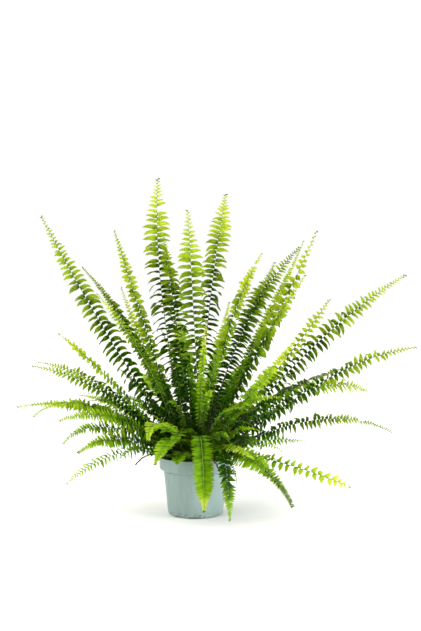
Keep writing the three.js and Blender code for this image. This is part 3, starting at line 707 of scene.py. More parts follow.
def spore_dots(tree, settings, colour, along, across, age):
    """A leaf's colour with brown dots on it, in a row along each side of the midrib."""
    dot_turns = 2 * math.pi * per_metre(SPORE_SPACING)[0]
    beat = add_node(tree, "Math", [along, dot_turns], operation="MULTIPLY").outputs[0]
    on_beat = add_node(tree, "Math", [beat], operation="COSINE").outputs[0]
    off_row = add_node(tree, "Math", [across, SPORE_ROW], operation="SUBTRACT").outputs[0]
    from_row = add_node(tree, "Math", [off_row], operation="ABSOLUTE").outputs[0]
    shape = add_node(tree, "Math", [from_row, -9.0, on_beat], operation="MULTIPLY_ADD").outputs[0]
    ripe = add_node(tree, "MapRange", [age, 0.6, 0.95, 0.0, 0.7]).outputs[0]
    dots = add_node(tree, "MapRange", [shape, 0.1, 0.35, 0.0, ripe]).outputs[0]
    spotting = {0: dots, 6: colour, 7: opaque(settings.spore)}
    return add_node(tree, "Mix", spotting, data_type="RGBA").outputs[2]


def streaks(tree, length, around, **noise_inputs):
    """Noise drawn out along a stalk: its length in millimetres, and how often it changes round it."""
    place = add_node(tree, "Attribute", attribute_name="place").outputs["Vector"]
    stretch = [place, (*per_metre(length), around, around)]
    stretched = add_node(tree, "VectorMath", stretch, operation="MULTIPLY").outputs[0]
    return add_node(tree, "TexNoise", {"Vector": stretched, "Scale": 1.0, **noise_inputs}).outputs["Fac"]


def stalk_skin(name, settings):
    """Living fern stalk: smooth and hard with a dull shine, yellow-green when young, brown when
    old and towards the soil, with fine streaks along it."""
    material, tree, shader = new_material(name)
    age = add_node(tree, "Attribute", attribute_name="age").outputs["Fac"]
    streak = streaks(tree, STREAK_LENGTH, 3.0, Detail=4.0)
    drift = add_node(tree, "Math", [streak, 0.4, -0.2], operation="MULTIPLY_ADD").outputs[0]
    ripe = add_node(tree, "Math", [age, drift], operation="ADD", use_clamp=True).outputs[0]
    shades = [
        (0.0, settings.stalk_young),
        (0.45, settings.stalk_grown),
        (0.8, settings.stalk_old),
        (1.0, settings.stalk_foot),
    ]
    colour = add_node(tree, "ValToRGB", [ripe], shades)
    bump = add_node(tree, "Bump", {"Strength": 0.35, "Distance": 0.15 * MM, "Height": streak})
    feed(shader, {
        "Base Color": colour.outputs["Color"],
        "Normal": bump.outputs["Normal"],
        "Roughness": 0.45,
        "IOR": 1.45,
    })
    return material


def papery_scale(name, settings):
    """Dead scale on a fern stalk: dry brown paper, matt, each one a little lighter or darker."""
    material, tree, shader = new_material(name)
    chance = add_node(tree, "Attribute", attribute_name="chance").outputs["Fac"]
    browns = [(0.0, settings.scale_dark), (1.0, settings.scale_light)]
    colour = add_node(tree, "ValToRGB", [chance], browns)
    feed(shader, {"Base Color": colour.outputs["Color"], "Roughness": 0.75})
    return material


def dry_stalk(name, settings):
    """Dead fern stalk: dried to straw, with cracks and streaks along it."""
    material, tree, shader = new_material(name)
    streak = streaks(tree, DRY_STREAK_LENGTH, 4.0, Detail=5.0, Roughness=0.65)
    browns = [(0.35, settings.dry_dark), (0.6, settings.dry_light)]
    colour = add_node(tree, "ValToRGB", [streak], browns)
    bump = add_node(tree, "Bump", {"Strength": 0.6, "Distance": 0.25 * MM, "Height": streak})
    feed(shader, {
        "Base Color": colour.outputs["Color"],
        "Normal": bump.outputs["Normal"],
        "Roughness": 0.8,
    })
    return material


def moulded_polypropylene(name, settings):
    """Injection-moulded polypropylene: satin, with soft flow marks down the wall, fine scuffs from
    stacking and a trace of peat dust above the foot."""
    material, tree, shader = new_material(name)
    where = add_node(tree, "TexCoord").outputs["Object"]
    noises = []
    for sizes, more in ((FLOW_MARK, {"Detail": 3.0}), (SCUFF, {"Detail": 4.0}),
                        (DUST_SPECK, {"Detail": 4.0, "Roughness": 0.6})):
        stretched = add_node(tree, "VectorMath", [where, per_metre(*sizes)], operation="MULTIPLY")
        pattern = {"Vector": stretched.outputs[0], "Scale": 1.0, **more}
        noises.append(add_node(tree, "TexNoise", pattern).outputs["Fac"])
    flow, scuffs, specks = noises
    tints = [(0.3, settings.plastic_shade), (0.7, settings.plastic)]
    colour = add_node(tree, "ValToRGB", [flow], tints).outputs["Color"]
    height = add_node(tree, "SeparateXYZ", [where]).outputs["Z"]
    fade = [height, DUST_FULL * MM, DUST_GONE * MM, 1.0, 0.0]
    low = add_node(tree, "MapRange", fade, interpolation_type="SMOOTHSTEP").outputs[0]
    speck_mask = add_node(tree, "MapRange", [specks, 0.54, 0.62, 0.0, 0.8]).outputs[0]
    dust = add_node(tree, "Math", [low, speck_mask], operation="MULTIPLY").outputs[0]
    dusting = {0: dust, 6: colour, 7: opaque(settings.dust)}
    dusty = add_node(tree, "Mix", dusting, data_type="RGBA").outputs[2]
    smooth = settings.plastic_roughness - 0.06
    rough = settings.plastic_roughness + 0.12
    satin = add_node(tree, "MapRange", [scuffs, 0.35, 0.7, smooth, rough])
    bump = add_node(tree, "Bump", {"Strength": 0.15, "Distance": 0.1 * MM, "Height": scuffs})
    feed(shader, {
        "Base Color": dusty,
        "Roughness": satin.outputs[0],
        "Normal": bump.outputs["Normal"],
        "IOR": 1.49,
        "Subsurface Weight": 0.08,
        "Subsurface Radius": (1.0, 1.0, 1.0),
        "Subsurface Scale": 1.0 * MM,
    })
    return material


def moist_peat(name, settings):
    """Moist potting peat: crumbly and almost black, with browner fibres, and no shine but where a
    crumb is wet."""
    material, tree, shader = new_material(name)
    where = add_node(tree, "TexCoord").outputs["Object"]
    crumbling = {"Vector": where, "Scale": per_metre(PEAT_GRAIN_SIZE)[0], "Detail": 6.0, "Roughness": 0.7}
    crumbs = add_node(tree, "TexNoise", crumbling).outputs["Fac"]
    browns = [(0.36, settings.peat_dark), (0.56, settings.peat), (0.72, settings.peat_light)]
    colour = add_node(tree, "ValToRGB", [crumbs], browns)
    damp = add_node(tree, "MapRange", [crumbs, 0.35, 0.65, 0.6, 0.98])
    bump = add_node(tree, "Bump", {"Strength": 0.9, "Distance": 0.8 * MM, "Height": crumbs})
    feed(shader, {
        "Base Color": colour.outputs["Color"],
        "Roughness": damp.outputs[0],
        "Normal": bump.outputs["Normal"],
    })
    return material


def studio_floor(name, settings):
    """Matt white painted board, with the faintest mottling of a rolled coat."""
    material, tree, shader = new_material(name)
    where = add_node(tree, "TexCoord").outputs["Object"]
    rolling = {"Vector": where, "Scale": per_metre(PAINT_MOTTLE_SIZE)[0], "Detail": 2.0}
    coat = add_node(tree, "TexNoise", rolling).outputs["Fac"]
    whites = [(0.3, settings.floor_shade), (0.7, settings.floor)]
    colour = add_node(tree, "ValToRGB", [coat], whites)
    feed(shader, {"Base Color": colour.outputs["Color"], "Roughness": 1.0, "Specular IOR Level": 0.0})
    return material


# ---- Settings ----


def colour_setting(label, description, colour):
    return bpy.props.FloatVectorProperty(
        name=label,
        description=description,
        default=linear(colour),
        subtype="COLOR",
        size=3,
        min=0.0,
        max=1.0,
    )


def number_setting(label, description, number, highest=1.0, **more):
    return bpy.props.FloatProperty(
        name=label,
        description=description,
        default=number,
        min=0.0,
        max=highest,
        **more,
    )


def length_setting(label, description, millimetres):
    return number_setting(label, description, millimetres * MM, unit="LENGTH", precision=4)


def count_setting(label, description, count):
    return bpy.props.IntProperty(name=label, description=description, default=count, min=0)


class FernSettings(bpy.types.PropertyGroup):
    """Sizes and colours of the fronds and the dead stalks."""

    leaf_thickness: length_setting("Leaf thickness", "Thickness of a leaflet at its midrib", 0.34)
    stalk_width: length_setting("Stalk width", "Width of a frond's stalk at the soil", 1.7)
    stalk_tip_width: length_setting("Stalk tip width", "Width of the rib at the frond's tip", 0.45)
    leaf_roughness: number_setting("Leaf roughness", "How dull the leaf's wax is", 0.42)
    leaf_glow: number_setting("Leaf glow", "How much light passes through a leaf", 0.35)
    just_unrolled: colour_setting("Just unrolled", "Leaf colour at the youngest tips", "#BCCE58")
    young: colour_setting("Young leaf", "Leaf colour of a young frond", "#9ABA20")
    grown: colour_setting("Grown leaf", "Leaf colour of a grown frond", "#6EA004")
    mature: colour_setting("Mature leaf", "Leaf colour low on a grown frond", "#457300")
    old: colour_setting("Old leaf", "Leaf colour of the oldest leaflets", "#0E2A00")
    vein: colour_setting("Vein", "Colour of the midrib and the veins", "#A8C41A")
    underside: colour_setting("Underside", "Paler green of the leaf's lower face", "#5E8A14")
    spore: colour_setting("Spore dots", "Colour of the dots under old leaflets", "#5A3A16")
    stalk_young: colour_setting("Young stalk", "Colour of a young frond's rib", "#A8C420")
    stalk_grown: colour_setting("Grown stalk", "Colour of a grown frond's rib", "#5A7410")
    stalk_old: colour_setting("Old stalk", "Colour of an old frond's rib", "#33380C")
    stalk_foot: colour_setting("Stalk foot", "Colour of a stalk at the soil", "#2A1C0C")
    scale_dark: colour_setting("Dark scale", "Darkest of the papery scales", "#3E2610")
    scale_light: colour_setting("Light scale", "Lightest of the papery scales", "#9A6A34")
    dry_dark: colour_setting("Dry stalk, dark", "Cracks and joints of a dead stalk", "#2A1E10")
    dry_light: colour_setting("Dry stalk, light", "Straw colour of a dead stalk", "#6A5430")


class PotSettings(bpy.types.PropertyGroup):
    """Shape details and colours of the pot."""

    edge_rounding: length_setting("Edge rounding", "Radius of the pot's moulded edges", 0.7)
    groove_depth: length_setting("Groove depth", "Depth of the line under the rim's band", 0.5)
    plastic: colour_setting("Plastic", "Main colour of the pot", "#91A6A3")
    plastic_shade: colour_setting("Plastic flow marks", "Colour where the plastic flowed", "#819792")
    plastic_roughness: number_setting("Plastic roughness", "How satin the plastic is", 0.42)
    dust: colour_setting("Dust", "Peat dust above the foot", "#3E3E36")


class SoilSettings(bpy.types.PropertyGroup):
    """Size of the crumbs and colours of the peat."""

    relief: length_setting("Relief", "Height of the humps of the peat's surface", 1.6)
    crumb_size: length_setting("Crumb size", "Size of an ordinary loose crumb", 2.6)
    crumb_count: count_setting("Crumbs", "Number of loose crumbs on the peat", 520)
    fibre_count: count_setting("Fibres", "Number of fibres that stick out of the peat", 70)
    peat_dark: colour_setting("Wet peat", "Darkest colour of the peat", "#0C0805")
    peat: colour_setting("Peat", "Ordinary colour of the peat", "#22170D")
    peat_light: colour_setting("Dry peat", "Colour of the driest crumbs and fibres", "#5A4028")


class StageSettings(bpy.types.PropertyGroup):
    """The studio: floor, lamps, surroundings and camera."""

    floor: colour_setting("Floor", "Colour of the floor", "#FBFBFA")
    floor_shade: colour_setting("Floor mottling", "Colour of the floor's faint mottling", "#F8F8F7")
    backdrop: number_setting("Backdrop", "Brightness of the backdrop that the camera sees", 1.0, 10.0)
    surround: number_setting("Surroundings", "Brightness of the room's own light", 0.16, 10.0)
    sky_strength: number_setting("Ceiling lamp", "Strength of the wide light from above", 3.7, 20.0)
    left_power: number_setting("Left lamp", "Power of the left soft lamp", 15.0, 500.0, unit="POWER")
    right_power: number_setting("Right lamp", "Power of the right soft lamp", 30.0, 500.0, unit="POWER")
    camera_place: bpy.props.FloatVectorProperty(
        name="Camera",
        description="Where the camera stands; it looks level along +Y",
        default=(24.5 * MM, -1450 * MM, 325 * MM),
        subtype="TRANSLATION",
    )
    camera_lens: number_setting("Lens", "Focal length on a 36 mm sensor", 50.3, 500.0, unit="CAMERA")


def settings_of(context):
    """The settings of the leaves, the pot, the soil and the stage."""
    scene = context.scene
    return scene.fern_leaves, scene.fern_pot, scene.fern_soil, scene.fern_stage


def put_on(piece, slot, *nodes):
    """A finished piece rides on the plant's body and stands for its CAD nodes."""
    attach(piece, BODY)
    if nodes:
        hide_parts(*nodes)


# ---- Fronds ----

# The fronds that fill the middle, in two groups: the piece's name; how many; how far they reach and
# at which angle they rise; how far out they stand; their longest leaflets; their age at the tip;
# and what sets them apart from the usual.
INNER_GROUPS = [
    # The crown fronds' dark, old leaves are partly their age and partly painted shade in the dense middle.
    ("crown_fronds", 52, (35, 105), (8, 66), (12, 40), (8, 13), (0.6, 1.0),
        {"gap": 0.34, "curl": 0.4, "wide": 0.38}),
    ("filling_fronds", 44, (80, 165), (6, 74), (14, 42), (7, 12), (0.3, 0.9),
        {"gap": 0.6, "curl": 0.7, "wide": 0.42}),
]
# How high they may reach above the soil and how far to the front; how far they may be turned, how
# much flatter they end than they start, and how much older they are at the foot than at the tip.
INNER_TOP = 150
INNER_FRONT = 150
INNER_TURN = 45
INNER_BEND = 60
INNER_PULL = 0.42
INNER_AGEING = 0.35
# The azimuth and half width of the gap at the front left, through which the soil is seen.
GAP_AZIMUTH = -1.85
GAP_HALF_WIDTH = 0.6

# Slots of a frond's materials, in this order.
UPPER, UNDER, STALK, SCALE = range(4)

# Leaflets: the length of the lowest and of the last as shares of the longest; the spacing of the
# shortest as a share of the longest's; how far one side stands ahead of the other and how far each
# is out of place, as shares of a step; the share that is missing; and the length from which they
# are made with more stations. From TIP_BUD on they are those of the frond's bud, and look older.
LOWEST_SIZE = 0.65
LAST_SIZE = 0.16
TIGHT_STEP = 0.48
SIDE_LEAD = 0.22
MISPLACED = 0.1
MISSING = 0.02
LONG_LEAFLET = 9
TIP_BUD = 0.982
TIP_BUD_AGE = 0.85
# Painted shade: leaflets near the crown are aged, and so darkened, by this much, less and less
# between these distances.
CROWN_PAINTED_SHADE = 0.4
SHADE_FULL = 45
SHADE_GONE = 130
# A stalk's rings of points, its depth for its width, and the depth of the groove along it.
STALK_RINGS = 34
STALK_DEPTH = 0.85
STALK_GROOVE = 0.35
# The papery scales of a frond's stalk, which stand on the lowest share of it.
SCALE_COUNT = 22
SCALE_LENGTH = 3.0
SCALY_SHARE = 0.2


def leaflet_profile(share, taper_from):
    """Share of the longest leaflet's length, from the lowest pair (0) to the tip (1)."""
    growth = mix(LOWEST_SIZE, 1, smoothstep(0, 0.16, share))
    return growth * (1 - (1 - LAST_SIZE) * smoothstep(taper_from, 1.02, share))


def leaflet_places(frond, length_mm):
    """Shares of the leafy length at which leaflets stand, closer together towards the tip."""
    fine = np.linspace(0, 1, 400)
    widest = 0.94 * frond.gap * frond.leaflet + 0.6
    spacing = widest * mix(TIGHT_STEP, 1, leaflet_profile(fine, frond.taper))
    steps = np.diff(fine) * length_mm / ((spacing[1:] + spacing[:-1]) / 2)
    walked = np.concatenate([[0], np.cumsum(steps)])
    pairs = int(walked[-1])
    return np.interp((np.arange(pairs) + 0.35) * walked[-1] / pairs, walked, fine)


def grow_leaflets(skin, frond, hand, settings, rng):
    """All leaflets on one side of a frond."""
    leafy_mm = rib_of(frond, [0, 1]).length * (1 - frond.bare)
    places = leaflet_places(frond, leafy_mm)
    off = SIDE_LEAD * hand + rng.uniform(-MISPLACED, MISPLACED, len(places))
    places = np.clip(places + np.gradient(places) * off, 0, 0.995)
    places = places[rng.random(len(places)) > MISSING * frond.rough]
    count = len(places)
    rib = rib_of(frond, frond.bare + (1 - frond.bare) * places)
    profile = leaflet_profile(places, frond.taper)
    length = frond.leaflet * profile * (1 + frond.rough * rng.uniform(-0.14, 0.08, count))
    width = (frond.wide * length + 1.2) * rng.uniform(1.0, 1.27, count)
    lower = 1 - places

    # Lower and longer leaflets hang more, and those that have begun to dry curl and twist.
    hang = frond.hang * mix(0.4, 1.15, lower ** 0.6) * np.sqrt(length / 25)
    hang = hang * (1 + frond.rough * rng.uniform(-0.3, 0.3, count))
    odds = frond.rough * (0.06 + 0.35 * lower ** 2) + frond.curl * smoothstep(0.05, 0.5, lower)
    curled = rng.random(count) < odds
    hang = np.where(curled, hang + rng.uniform(0.3, 1.8, count), hang)
    hook = np.where(curled, rng.normal(0, 0.9, count), rng.normal(0, 0.12, count))
    loose = rng.normal(0, 0.18, count) * frond.rough
    twist = np.where(curled, rng.choice([-1, 1], count) * rng.uniform(0.7, 2.2, count), loose)

    age = mix(frond.young, frond.old, smoothstep(0.03, 0.65, lower)) + 0.12 * curled
    age = age - frond.fresh * smoothstep(0.75, 0.97, places)
    # Painted shade: leaflets near the crown are darkened, as if older.
    from_crown = np.linalg.norm(rib.centre - [0, 0, SOIL_CROWN], axis=1)
    age = age + CROWN_PAINTED_SHADE * (1 - smoothstep(SHADE_FULL, SHADE_GONE, from_crown))
    age = np.where(places > TIP_BUD, TIP_BUD_AGE, age)
    pitch = mix(0.2, frond.pitch, smoothstep(0.1, 0.6, lower))
    leaflets = Leaflets(
        foot=rib.centre + rib.side * hand * 0.35,
        out=rib.side * hand,
        ahead=rib.ahead,
        up=rib.up,
        hand=np.full(count, float(hand)),
        length=length,
        width=width,
        forward=mix(0.18, 0.8, places ** 3) + rng.normal(0, 0.1, count) * frond.rough,
        hang=hang,
        hook=hook,
        lift=0.18 + rng.normal(0, 0.22, count) * frond.rough,
        pitch=pitch + rng.normal(0, 0.14, count) * frond.rough,
        twist=twist,
        fold=rng.uniform(0.1, 0.32, count),
        ripple=rng.uniform(0, 2 * math.pi, count),
        age=np.clip(age, 0, 1),
        chance=rng.random(count),
    )
    long_ones = length > LONG_LEAFLET
    for chosen, stations in ((long_ones, LONG_STATIONS), (~long_ones, SHORT_STATIONS)):
        if chosen.any():
            some = Leaflets(*(values[chosen] for values in leaflets))
            add_leaflets(skin, some, stations, settings.leaf_thickness / MM, frond.blunt, UPPER, UNDER)


def plant_stalk(skin, rib, centres, wide, slot, age, groove=0.0):
    """A stalk along these centres, which starts a little way down in the soil."""
    foot = centres[:1] - rib.ahead[:1] * ROOT_DEPTH
    first_twice = [0, *range(len(centres))]
    wide = wide[first_twice]
    tube(
        skin,
        np.concatenate([foot, centres]),
        rib.side[first_twice],
        rib.up[first_twice],
        wide,
        wide * STALK_DEPTH,
        slot,
        age[first_twice],
        groove=groove,
    )


def grow_stalk(skin, frond, settings):
    """The stalk up to the frond's tip, grooved along its upper face."""
    rib = rib_of(frond, np.linspace(0, 1, STALK_RINGS))
    along = rib.share
    wide = mix(settings.stalk_width, settings.stalk_tip_width, along ** 0.7) / 2 / MM
    at_soil = 0.35 * (1 - smoothstep(0.1, 0.4, along)) + 0.65 * (1 - smoothstep(0.0, 0.09, along))
    age = 0.75 * mix(frond.young, frond.old, smoothstep(0.05, 0.9, 1 - along))
    age = np.clip(age + frond.brown + at_soil, 0, 1)
    plant_stalk(skin, rib, rib.centre, wide, STALK, age, STALK_GROOVE)
    return rib, wide


def grow_whole(skin, frond, settings, rng):
    """A frond's stalk, its leaflets and the scales on its stalk."""
    rib, radii = grow_stalk(skin, frond, settings)
    for hand in (1, -1):
        grow_leaflets(skin, frond, hand, settings, rng)
    low = rib.share < SCALY_SHARE
    foot = Rib(*(values[low] for values in rib[:5]), rib.length)
    add_scales(skin, foot, radii[low], rng, SCALE_COUNT, SCALE_LENGTH, SCALE)


def grow_frond(frond, settings, materials, seed):
    """One frond as a single piece."""
    skin = Skin()
    grow_whole(skin, frond, settings, np.random.default_rng(seed))
    piece = skin.build(f"leafy_{frond.name}", materials)
    put_on(piece, "fern_leaf", f"frond_{frond.name}")


def inner_fronds(count, reaches, rises, stands, leaflets, ages, own, rng):
    """The fronds that fill a fern's middle, as rows of their own, all round it but for a gap."""
    for index in range(count):
        azimuth = -math.pi / 2 + 2 * math.pi * (index + rng.uniform(0.1, 0.9)) / count
        rise = rng.uniform(*rises)
        stand = rng.uniform(*stands)
        far = stand + rng.uniform(*reaches)
        far = min(far, INNER_FRONT / max(0.4, -math.sin(azimuth)))
        climb = (far - stand) * math.tan(math.radians(rise)) * rng.uniform(0.35, 0.6)
        root = (stand * math.cos(azimuth), stand * math.sin(azimuth))
        height = soil_height(stand) + min(climb, INNER_TOP)
        tip = (far * math.cos(azimuth), far * math.sin(azimuth), height)
        leaflet = rng.uniform(*leaflets)
        turn = rng.uniform(-INNER_TURN, INNER_TURN)
        age = rng.uniform(*ages)
        if math.cos(azimuth - GAP_AZIMUTH) > math.cos(GAP_HALF_WIDTH):
            continue
        oldest = min(1, age + INNER_AGEING)
        own_too = {"root": root, "pull": INNER_PULL, **own}
        yield frond_of("inner", tip, rise, rise - INNER_BEND, turn, leaflet, age, oldest, **own_too)


class FERN_OT_fronds(bpy.types.Operator):
    """Grow every frond with all its leaflets"""

    bl_idname = "fern.fronds"
    bl_label = "Grow the fronds"

    def execute(self, context):
        leaves = settings_of(context)[0]
        materials = [
            leaf_blade("fern_leaf_upper_face", leaves, underside=False),
            leaf_blade("fern_leaf_lower_face", leaves, underside=True),
            stalk_skin("fern_stalk", leaves),
            papery_scale("papery_scale", leaves),
        ]
        for index, frond in enumerate(FRONDS):
            grow_frond(frond, leaves, materials, SEED + index)
        rng = np.random.default_rng(INNER_SEED)
        groups = {name: list(inner_fronds(*group, rng)) for name, *group in INNER_GROUPS}
        groups["low_fronds"] = LOW_FRONDS
        for name, fronds in groups.items():
            skin = Skin()
            for frond in fronds:
                grow_whole(skin, frond, leaves, rng)
            put_on(skin.build(name, materials), "fern_leaf")
        return {"FINISHED"}


# ---- Dead stalks ----

# The stalk's rings of points, of which FIRST_STUB has the first stub of a lost leaflet and every
# STUB_STEP after it the next. How far a stub sags at each of its own rings, in millimetres, and half
# its thickness there.
DEAD_STALK_RINGS = 22
FIRST_STUB = 7
STUB_STEP = 3
STUB_SAG = (0, 0, 0.3, 0.9)
STUB_RADII = (0.3, 0.26, 0.2, 0.1)


def grow_dead_stalk(frond, settings, material, seed):
    """A dry stalk, a little crooked, with the stubs of the leaflets that it has lost."""
    rng = np.random.default_rng(seed)
    count = DEAD_STALK_RINGS
    shares = np.linspace(0, 1, count)
    rib = rib_of(frond, shares)
    crooked = rng.normal(0, 0.35, (count, 1)) * rib.side + rng.normal(0, 0.3, (count, 1)) * rib.up
    crooked[:3] = 0
    centres = rib.centre + crooked
    wide = mix(1.9 * settings.stalk_width, 1.5 * settings.stalk_width, shares) / 2 / MM
    wide = wide * rng.uniform(0.85, 1.15, count)
    skin = Skin()
    plant_stalk(skin, rib, centres, wide, 0, np.ones(count))
    rings = len(STUB_RADII)
    sag = DOWN * np.array(STUB_SAG)[:, None]
    for index in range(FIRST_STUB, count, STUB_STEP):
        hand = 1 if index % 2 else -1
        ahead = rib.ahead[index]
        out = unit(rib.side[index] * hand + ahead * 0.6 + DOWN * 0.3)
        line = centres[index] + out * np.linspace(0, rng.uniform(1.5, 4.5), rings)[:, None] + sag
        side = np.tile(ahead, (rings, 1))
        up = np.tile(np.cross(ahead, out), (rings, 1))
        tube(skin, line, side, up, STUB_RADII, STUB_RADII, 0, np.ones(rings), around=5)
    piece = skin.build(f"dry_{frond.name}", [material])
    put_on(piece, "dry_stalk", frond.name)


class FERN_OT_dead_stalks(bpy.types.Operator):
    """Make the two dead stalks that bend over the rim"""

    bl_idname = "fern.dead_stalks"
    bl_label = "Make the dead stalks"

    def execute(self, context):
        leaves = settings_of(context)[0]
        material = dry_stalk("dry_fern_stalk", leaves)
        for index, frond in enumerate(DEAD_STALKS):
            grow_dead_stalk(frond, leaves, material, DEAD_STALK_SEED + index)
        return {"FINISHED"}


# ---- Pot ----

# The pot's sizes in millimetres, as its CAD solid has them.
POT_HEIGHT = 94
RIM_RADIUS = 60
BAND_BOTTOM = 74
BODY_TOP_RADIUS = 52.6
BODY_FOOT_RADIUS = 45.2
POT_WALL = 1.4
LEDGE = 2
BAND_TAPER = 0.6
EDGE_RADIUS = 4
FLOOR_TOP = 4.4
FLOOR_BEVEL = 1.2
HUB_RADIUS = 16
CHANNEL_HEIGHT = 3
CHANNEL_OUTER_RADIUS = 36
CHANNEL_SLOPE = 2
DRAIN_COUNT = 6
DRAIN_RADIUS = 3.5
NOTCH_COUNT = 4
NOTCH_WIDTH = 18
NOTCH_HEIGHT = 3
# How far in and up the middle of the foot's rounded edge is.
FOOT_EDGE = 0.29 * EDGE_RADIUS
# The line under the rim's band and the small oval hole in it, which only the scene has.
GROOVE_HEIGHT = 70.6
GROOVE_WIDTH = 0.9
MARK_RADIUS = 0.9
MARK_STRETCH = 2.3
MARK_AZIMUTH = math.radians(219)
# How finely round shapes are made, the angle from which an edge is sharp, and how close together
# points are made one, in metres.
POT_SIDES = 160
DRAIN_SIDES = 32
MARK_SIDES = 24
EDGE_STEPS = 4
POT_CREASE = math.radians(40)
WELD = 1e-7


def rounded(corners, radius):
    """An open outline of (radius, height) corners, with all but its ends rounded off by up to the
    radius, and by no more than the sides have room for."""
    outline = [np.array(corners[0], float)]
    for before, corner, after in zip(corners, corners[1:], corners[2:]):
        before, corner, after = (np.array(point, float) for point in (before, corner, after))
        reach = min(radius, np.linalg.norm(before - corner) / 2.2, np.linalg.norm(after - corner) / 2.2)
        start = corner + unit(before - corner) * reach
        end = corner + unit(after - corner) * reach
        for step in range(EDGE_STEPS + 1):
            t = step / EDGE_STEPS
            outline.append((1 - t) ** 2 * start + 2 * t * (1 - t) * corner + t * t * end)
    outline.append(np.array(corners[-1], float))
    return outline


def body_radius(height):
    """Outer radius of the pot's tapered body at a height."""
    share = (height - EDGE_RADIUS) / (BAND_BOTTOM - LEDGE - EDGE_RADIUS)
    return mix(BODY_FOOT_RADIUS, BODY_TOP_RADIUS, share)


def pot_outline(settings):
    """The pot's section from the middle of its underside, up the outside and down the inside."""
    inner_rim = RIM_RADIUS - POT_WALL
    groove = settings.groove_depth / MM
    lower = GROOVE_HEIGHT - GROOVE_WIDTH / 2
    upper = GROOVE_HEIGHT + GROOVE_WIDTH / 2
    corners = [
        (0, 0),
        (HUB_RADIUS, 0),
        (HUB_RADIUS + CHANNEL_SLOPE, CHANNEL_HEIGHT),
        (CHANNEL_OUTER_RADIUS - CHANNEL_SLOPE, CHANNEL_HEIGHT),
        (CHANNEL_OUTER_RADIUS, 0),
        (BODY_FOOT_RADIUS - EDGE_RADIUS, 0),
        (BODY_FOOT_RADIUS - FOOT_EDGE, FOOT_EDGE),
        (BODY_FOOT_RADIUS, EDGE_RADIUS),
        (body_radius(lower), lower),
        (body_radius(GROOVE_HEIGHT) - groove, GROOVE_HEIGHT),
        (body_radius(upper), upper),
        (BODY_TOP_RADIUS, BAND_BOTTOM - LEDGE),
        (RIM_RADIUS - LEDGE, BAND_BOTTOM),
        (RIM_RADIUS - BAND_TAPER, BAND_BOTTOM + LEDGE),
        (RIM_RADIUS, POT_HEIGHT),
        (inner_rim, POT_HEIGHT),
        (inner_rim - BAND_TAPER, BAND_BOTTOM + LEDGE + POT_WALL),
        (BODY_TOP_RADIUS - POT_WALL, BAND_BOTTOM),
        (BODY_FOOT_RADIUS - POT_WALL, FLOOR_TOP + FLOOR_BEVEL),
        (BODY_FOOT_RADIUS - POT_WALL - FLOOR_BEVEL, FLOOR_TOP),
        (0, FLOOR_TOP),
    ]
    return rounded(corners, settings.edge_rounding / MM)


def turned_mesh(name, outline, sides):
    """A closed solid of revolution from an outline that starts and ends on the axis."""
    mesh = bpy.data.meshes.new(name)
    shape = bmesh.new()
    corners = [shape.verts.new(Vector((radius, 0, height)) * MM) for radius, height in outline]
    edges = [shape.edges.new(pair) for pair in zip(corners, corners[1:])]
    bmesh.ops.spin(
        shape,
        geom=corners + edges,
        cent=(0, 0, 0),
        axis=(0, 0, 1),
        angle=2 * math.pi,
        steps=sides,
        use_merge=True,
    )
    bmesh.ops.remove_doubles(shape, verts=shape.verts, dist=WELD)
    bmesh.ops.recalc_face_normals(shape, faces=shape.faces)
    shape.to_mesh(mesh)
    shape.free()
    return mesh


def cut_away(piece, cutters):
    """Takes the cutters out of a piece, and removes them."""
    for cutter in cutters:
        cut = piece.modifiers.new("cut", "BOOLEAN")
        cut.operation = "DIFFERENCE"
        cut.solver = "EXACT"
        cut.object = cutter
    bpy.context.view_layer.update()
    evaluated = piece.evaluated_get(bpy.context.evaluated_depsgraph_get())
    cut_mesh = bpy.data.meshes.new_from_object(evaluated)
    piece.modifiers.clear()
    piece.data = cut_mesh
    for cutter in cutters:
        bpy.data.objects.remove(cutter)


def cutter_object(name, shape, matrix):
    """An object to cut with, from a shape of bmesh and its place."""
    mesh = bpy.data.meshes.new(name)
    shape.transform(matrix)
    shape.to_mesh(mesh)
    shape.free()
    cutter = bpy.data.objects.new(name, mesh)
    bpy.context.scene.collection.objects.link(cutter)
    return cutter


def drill(name, sides, radius, depth, matrix):
    """A round cutter, with its radius and depth in millimetres."""
    shape = bmesh.new()
    bmesh.ops.create_cone(
        shape,
        cap_ends=True,
        segments=sides,
        radius1=radius * MM,
        radius2=radius * MM,
        depth=depth * MM,
    )
    return cutter_object(name, shape, matrix)


def pot_cutters():
    """Drain holes in the channel, notches in the foot and the small oval hole under the rim."""
    cutters = []
    ring = (HUB_RADIUS + CHANNEL_OUTER_RADIUS) / 2
    for index in range(DRAIN_COUNT):
        angle = 2 * math.pi * (index + 0.5) / DRAIN_COUNT
        place = Matrix.Translation(Vector((ring * math.cos(angle), ring * math.sin(angle), 0)) * MM)
        cutters.append(drill("drain", DRAIN_SIDES, DRAIN_RADIUS, 4 * FLOOR_TOP, place))
    for index in range(NOTCH_COUNT):
        notch = bmesh.new()
        bmesh.ops.create_cube(notch, size=1.0)
        size = Vector((EDGE_RADIUS * 4, NOTCH_WIDTH, 2 * NOTCH_HEIGHT)) * MM
        place = Matrix.Rotation(2 * math.pi * index / NOTCH_COUNT, 4, "Z")
        place = place @ Matrix.Translation(Vector((BODY_FOOT_RADIUS, 0, 0)) * MM)
        cutters.append(cutter_object("notch", notch, place @ Matrix.Diagonal((*size, 1))))
    place = Matrix.Rotation(MARK_AZIMUTH, 4, "Z")
    place = place @ Matrix.Translation(Vector((body_radius(GROOVE_HEIGHT), 0, GROOVE_HEIGHT)) * MM)
    oval = Matrix.Rotation(math.pi / 2, 4, "Y") @ Matrix.Diagonal((1, MARK_STRETCH, 1, 1))
    cutters.append(drill("mark", MARK_SIDES, MARK_RADIUS, 4 * POT_WALL, place @ oval))
    return cutters


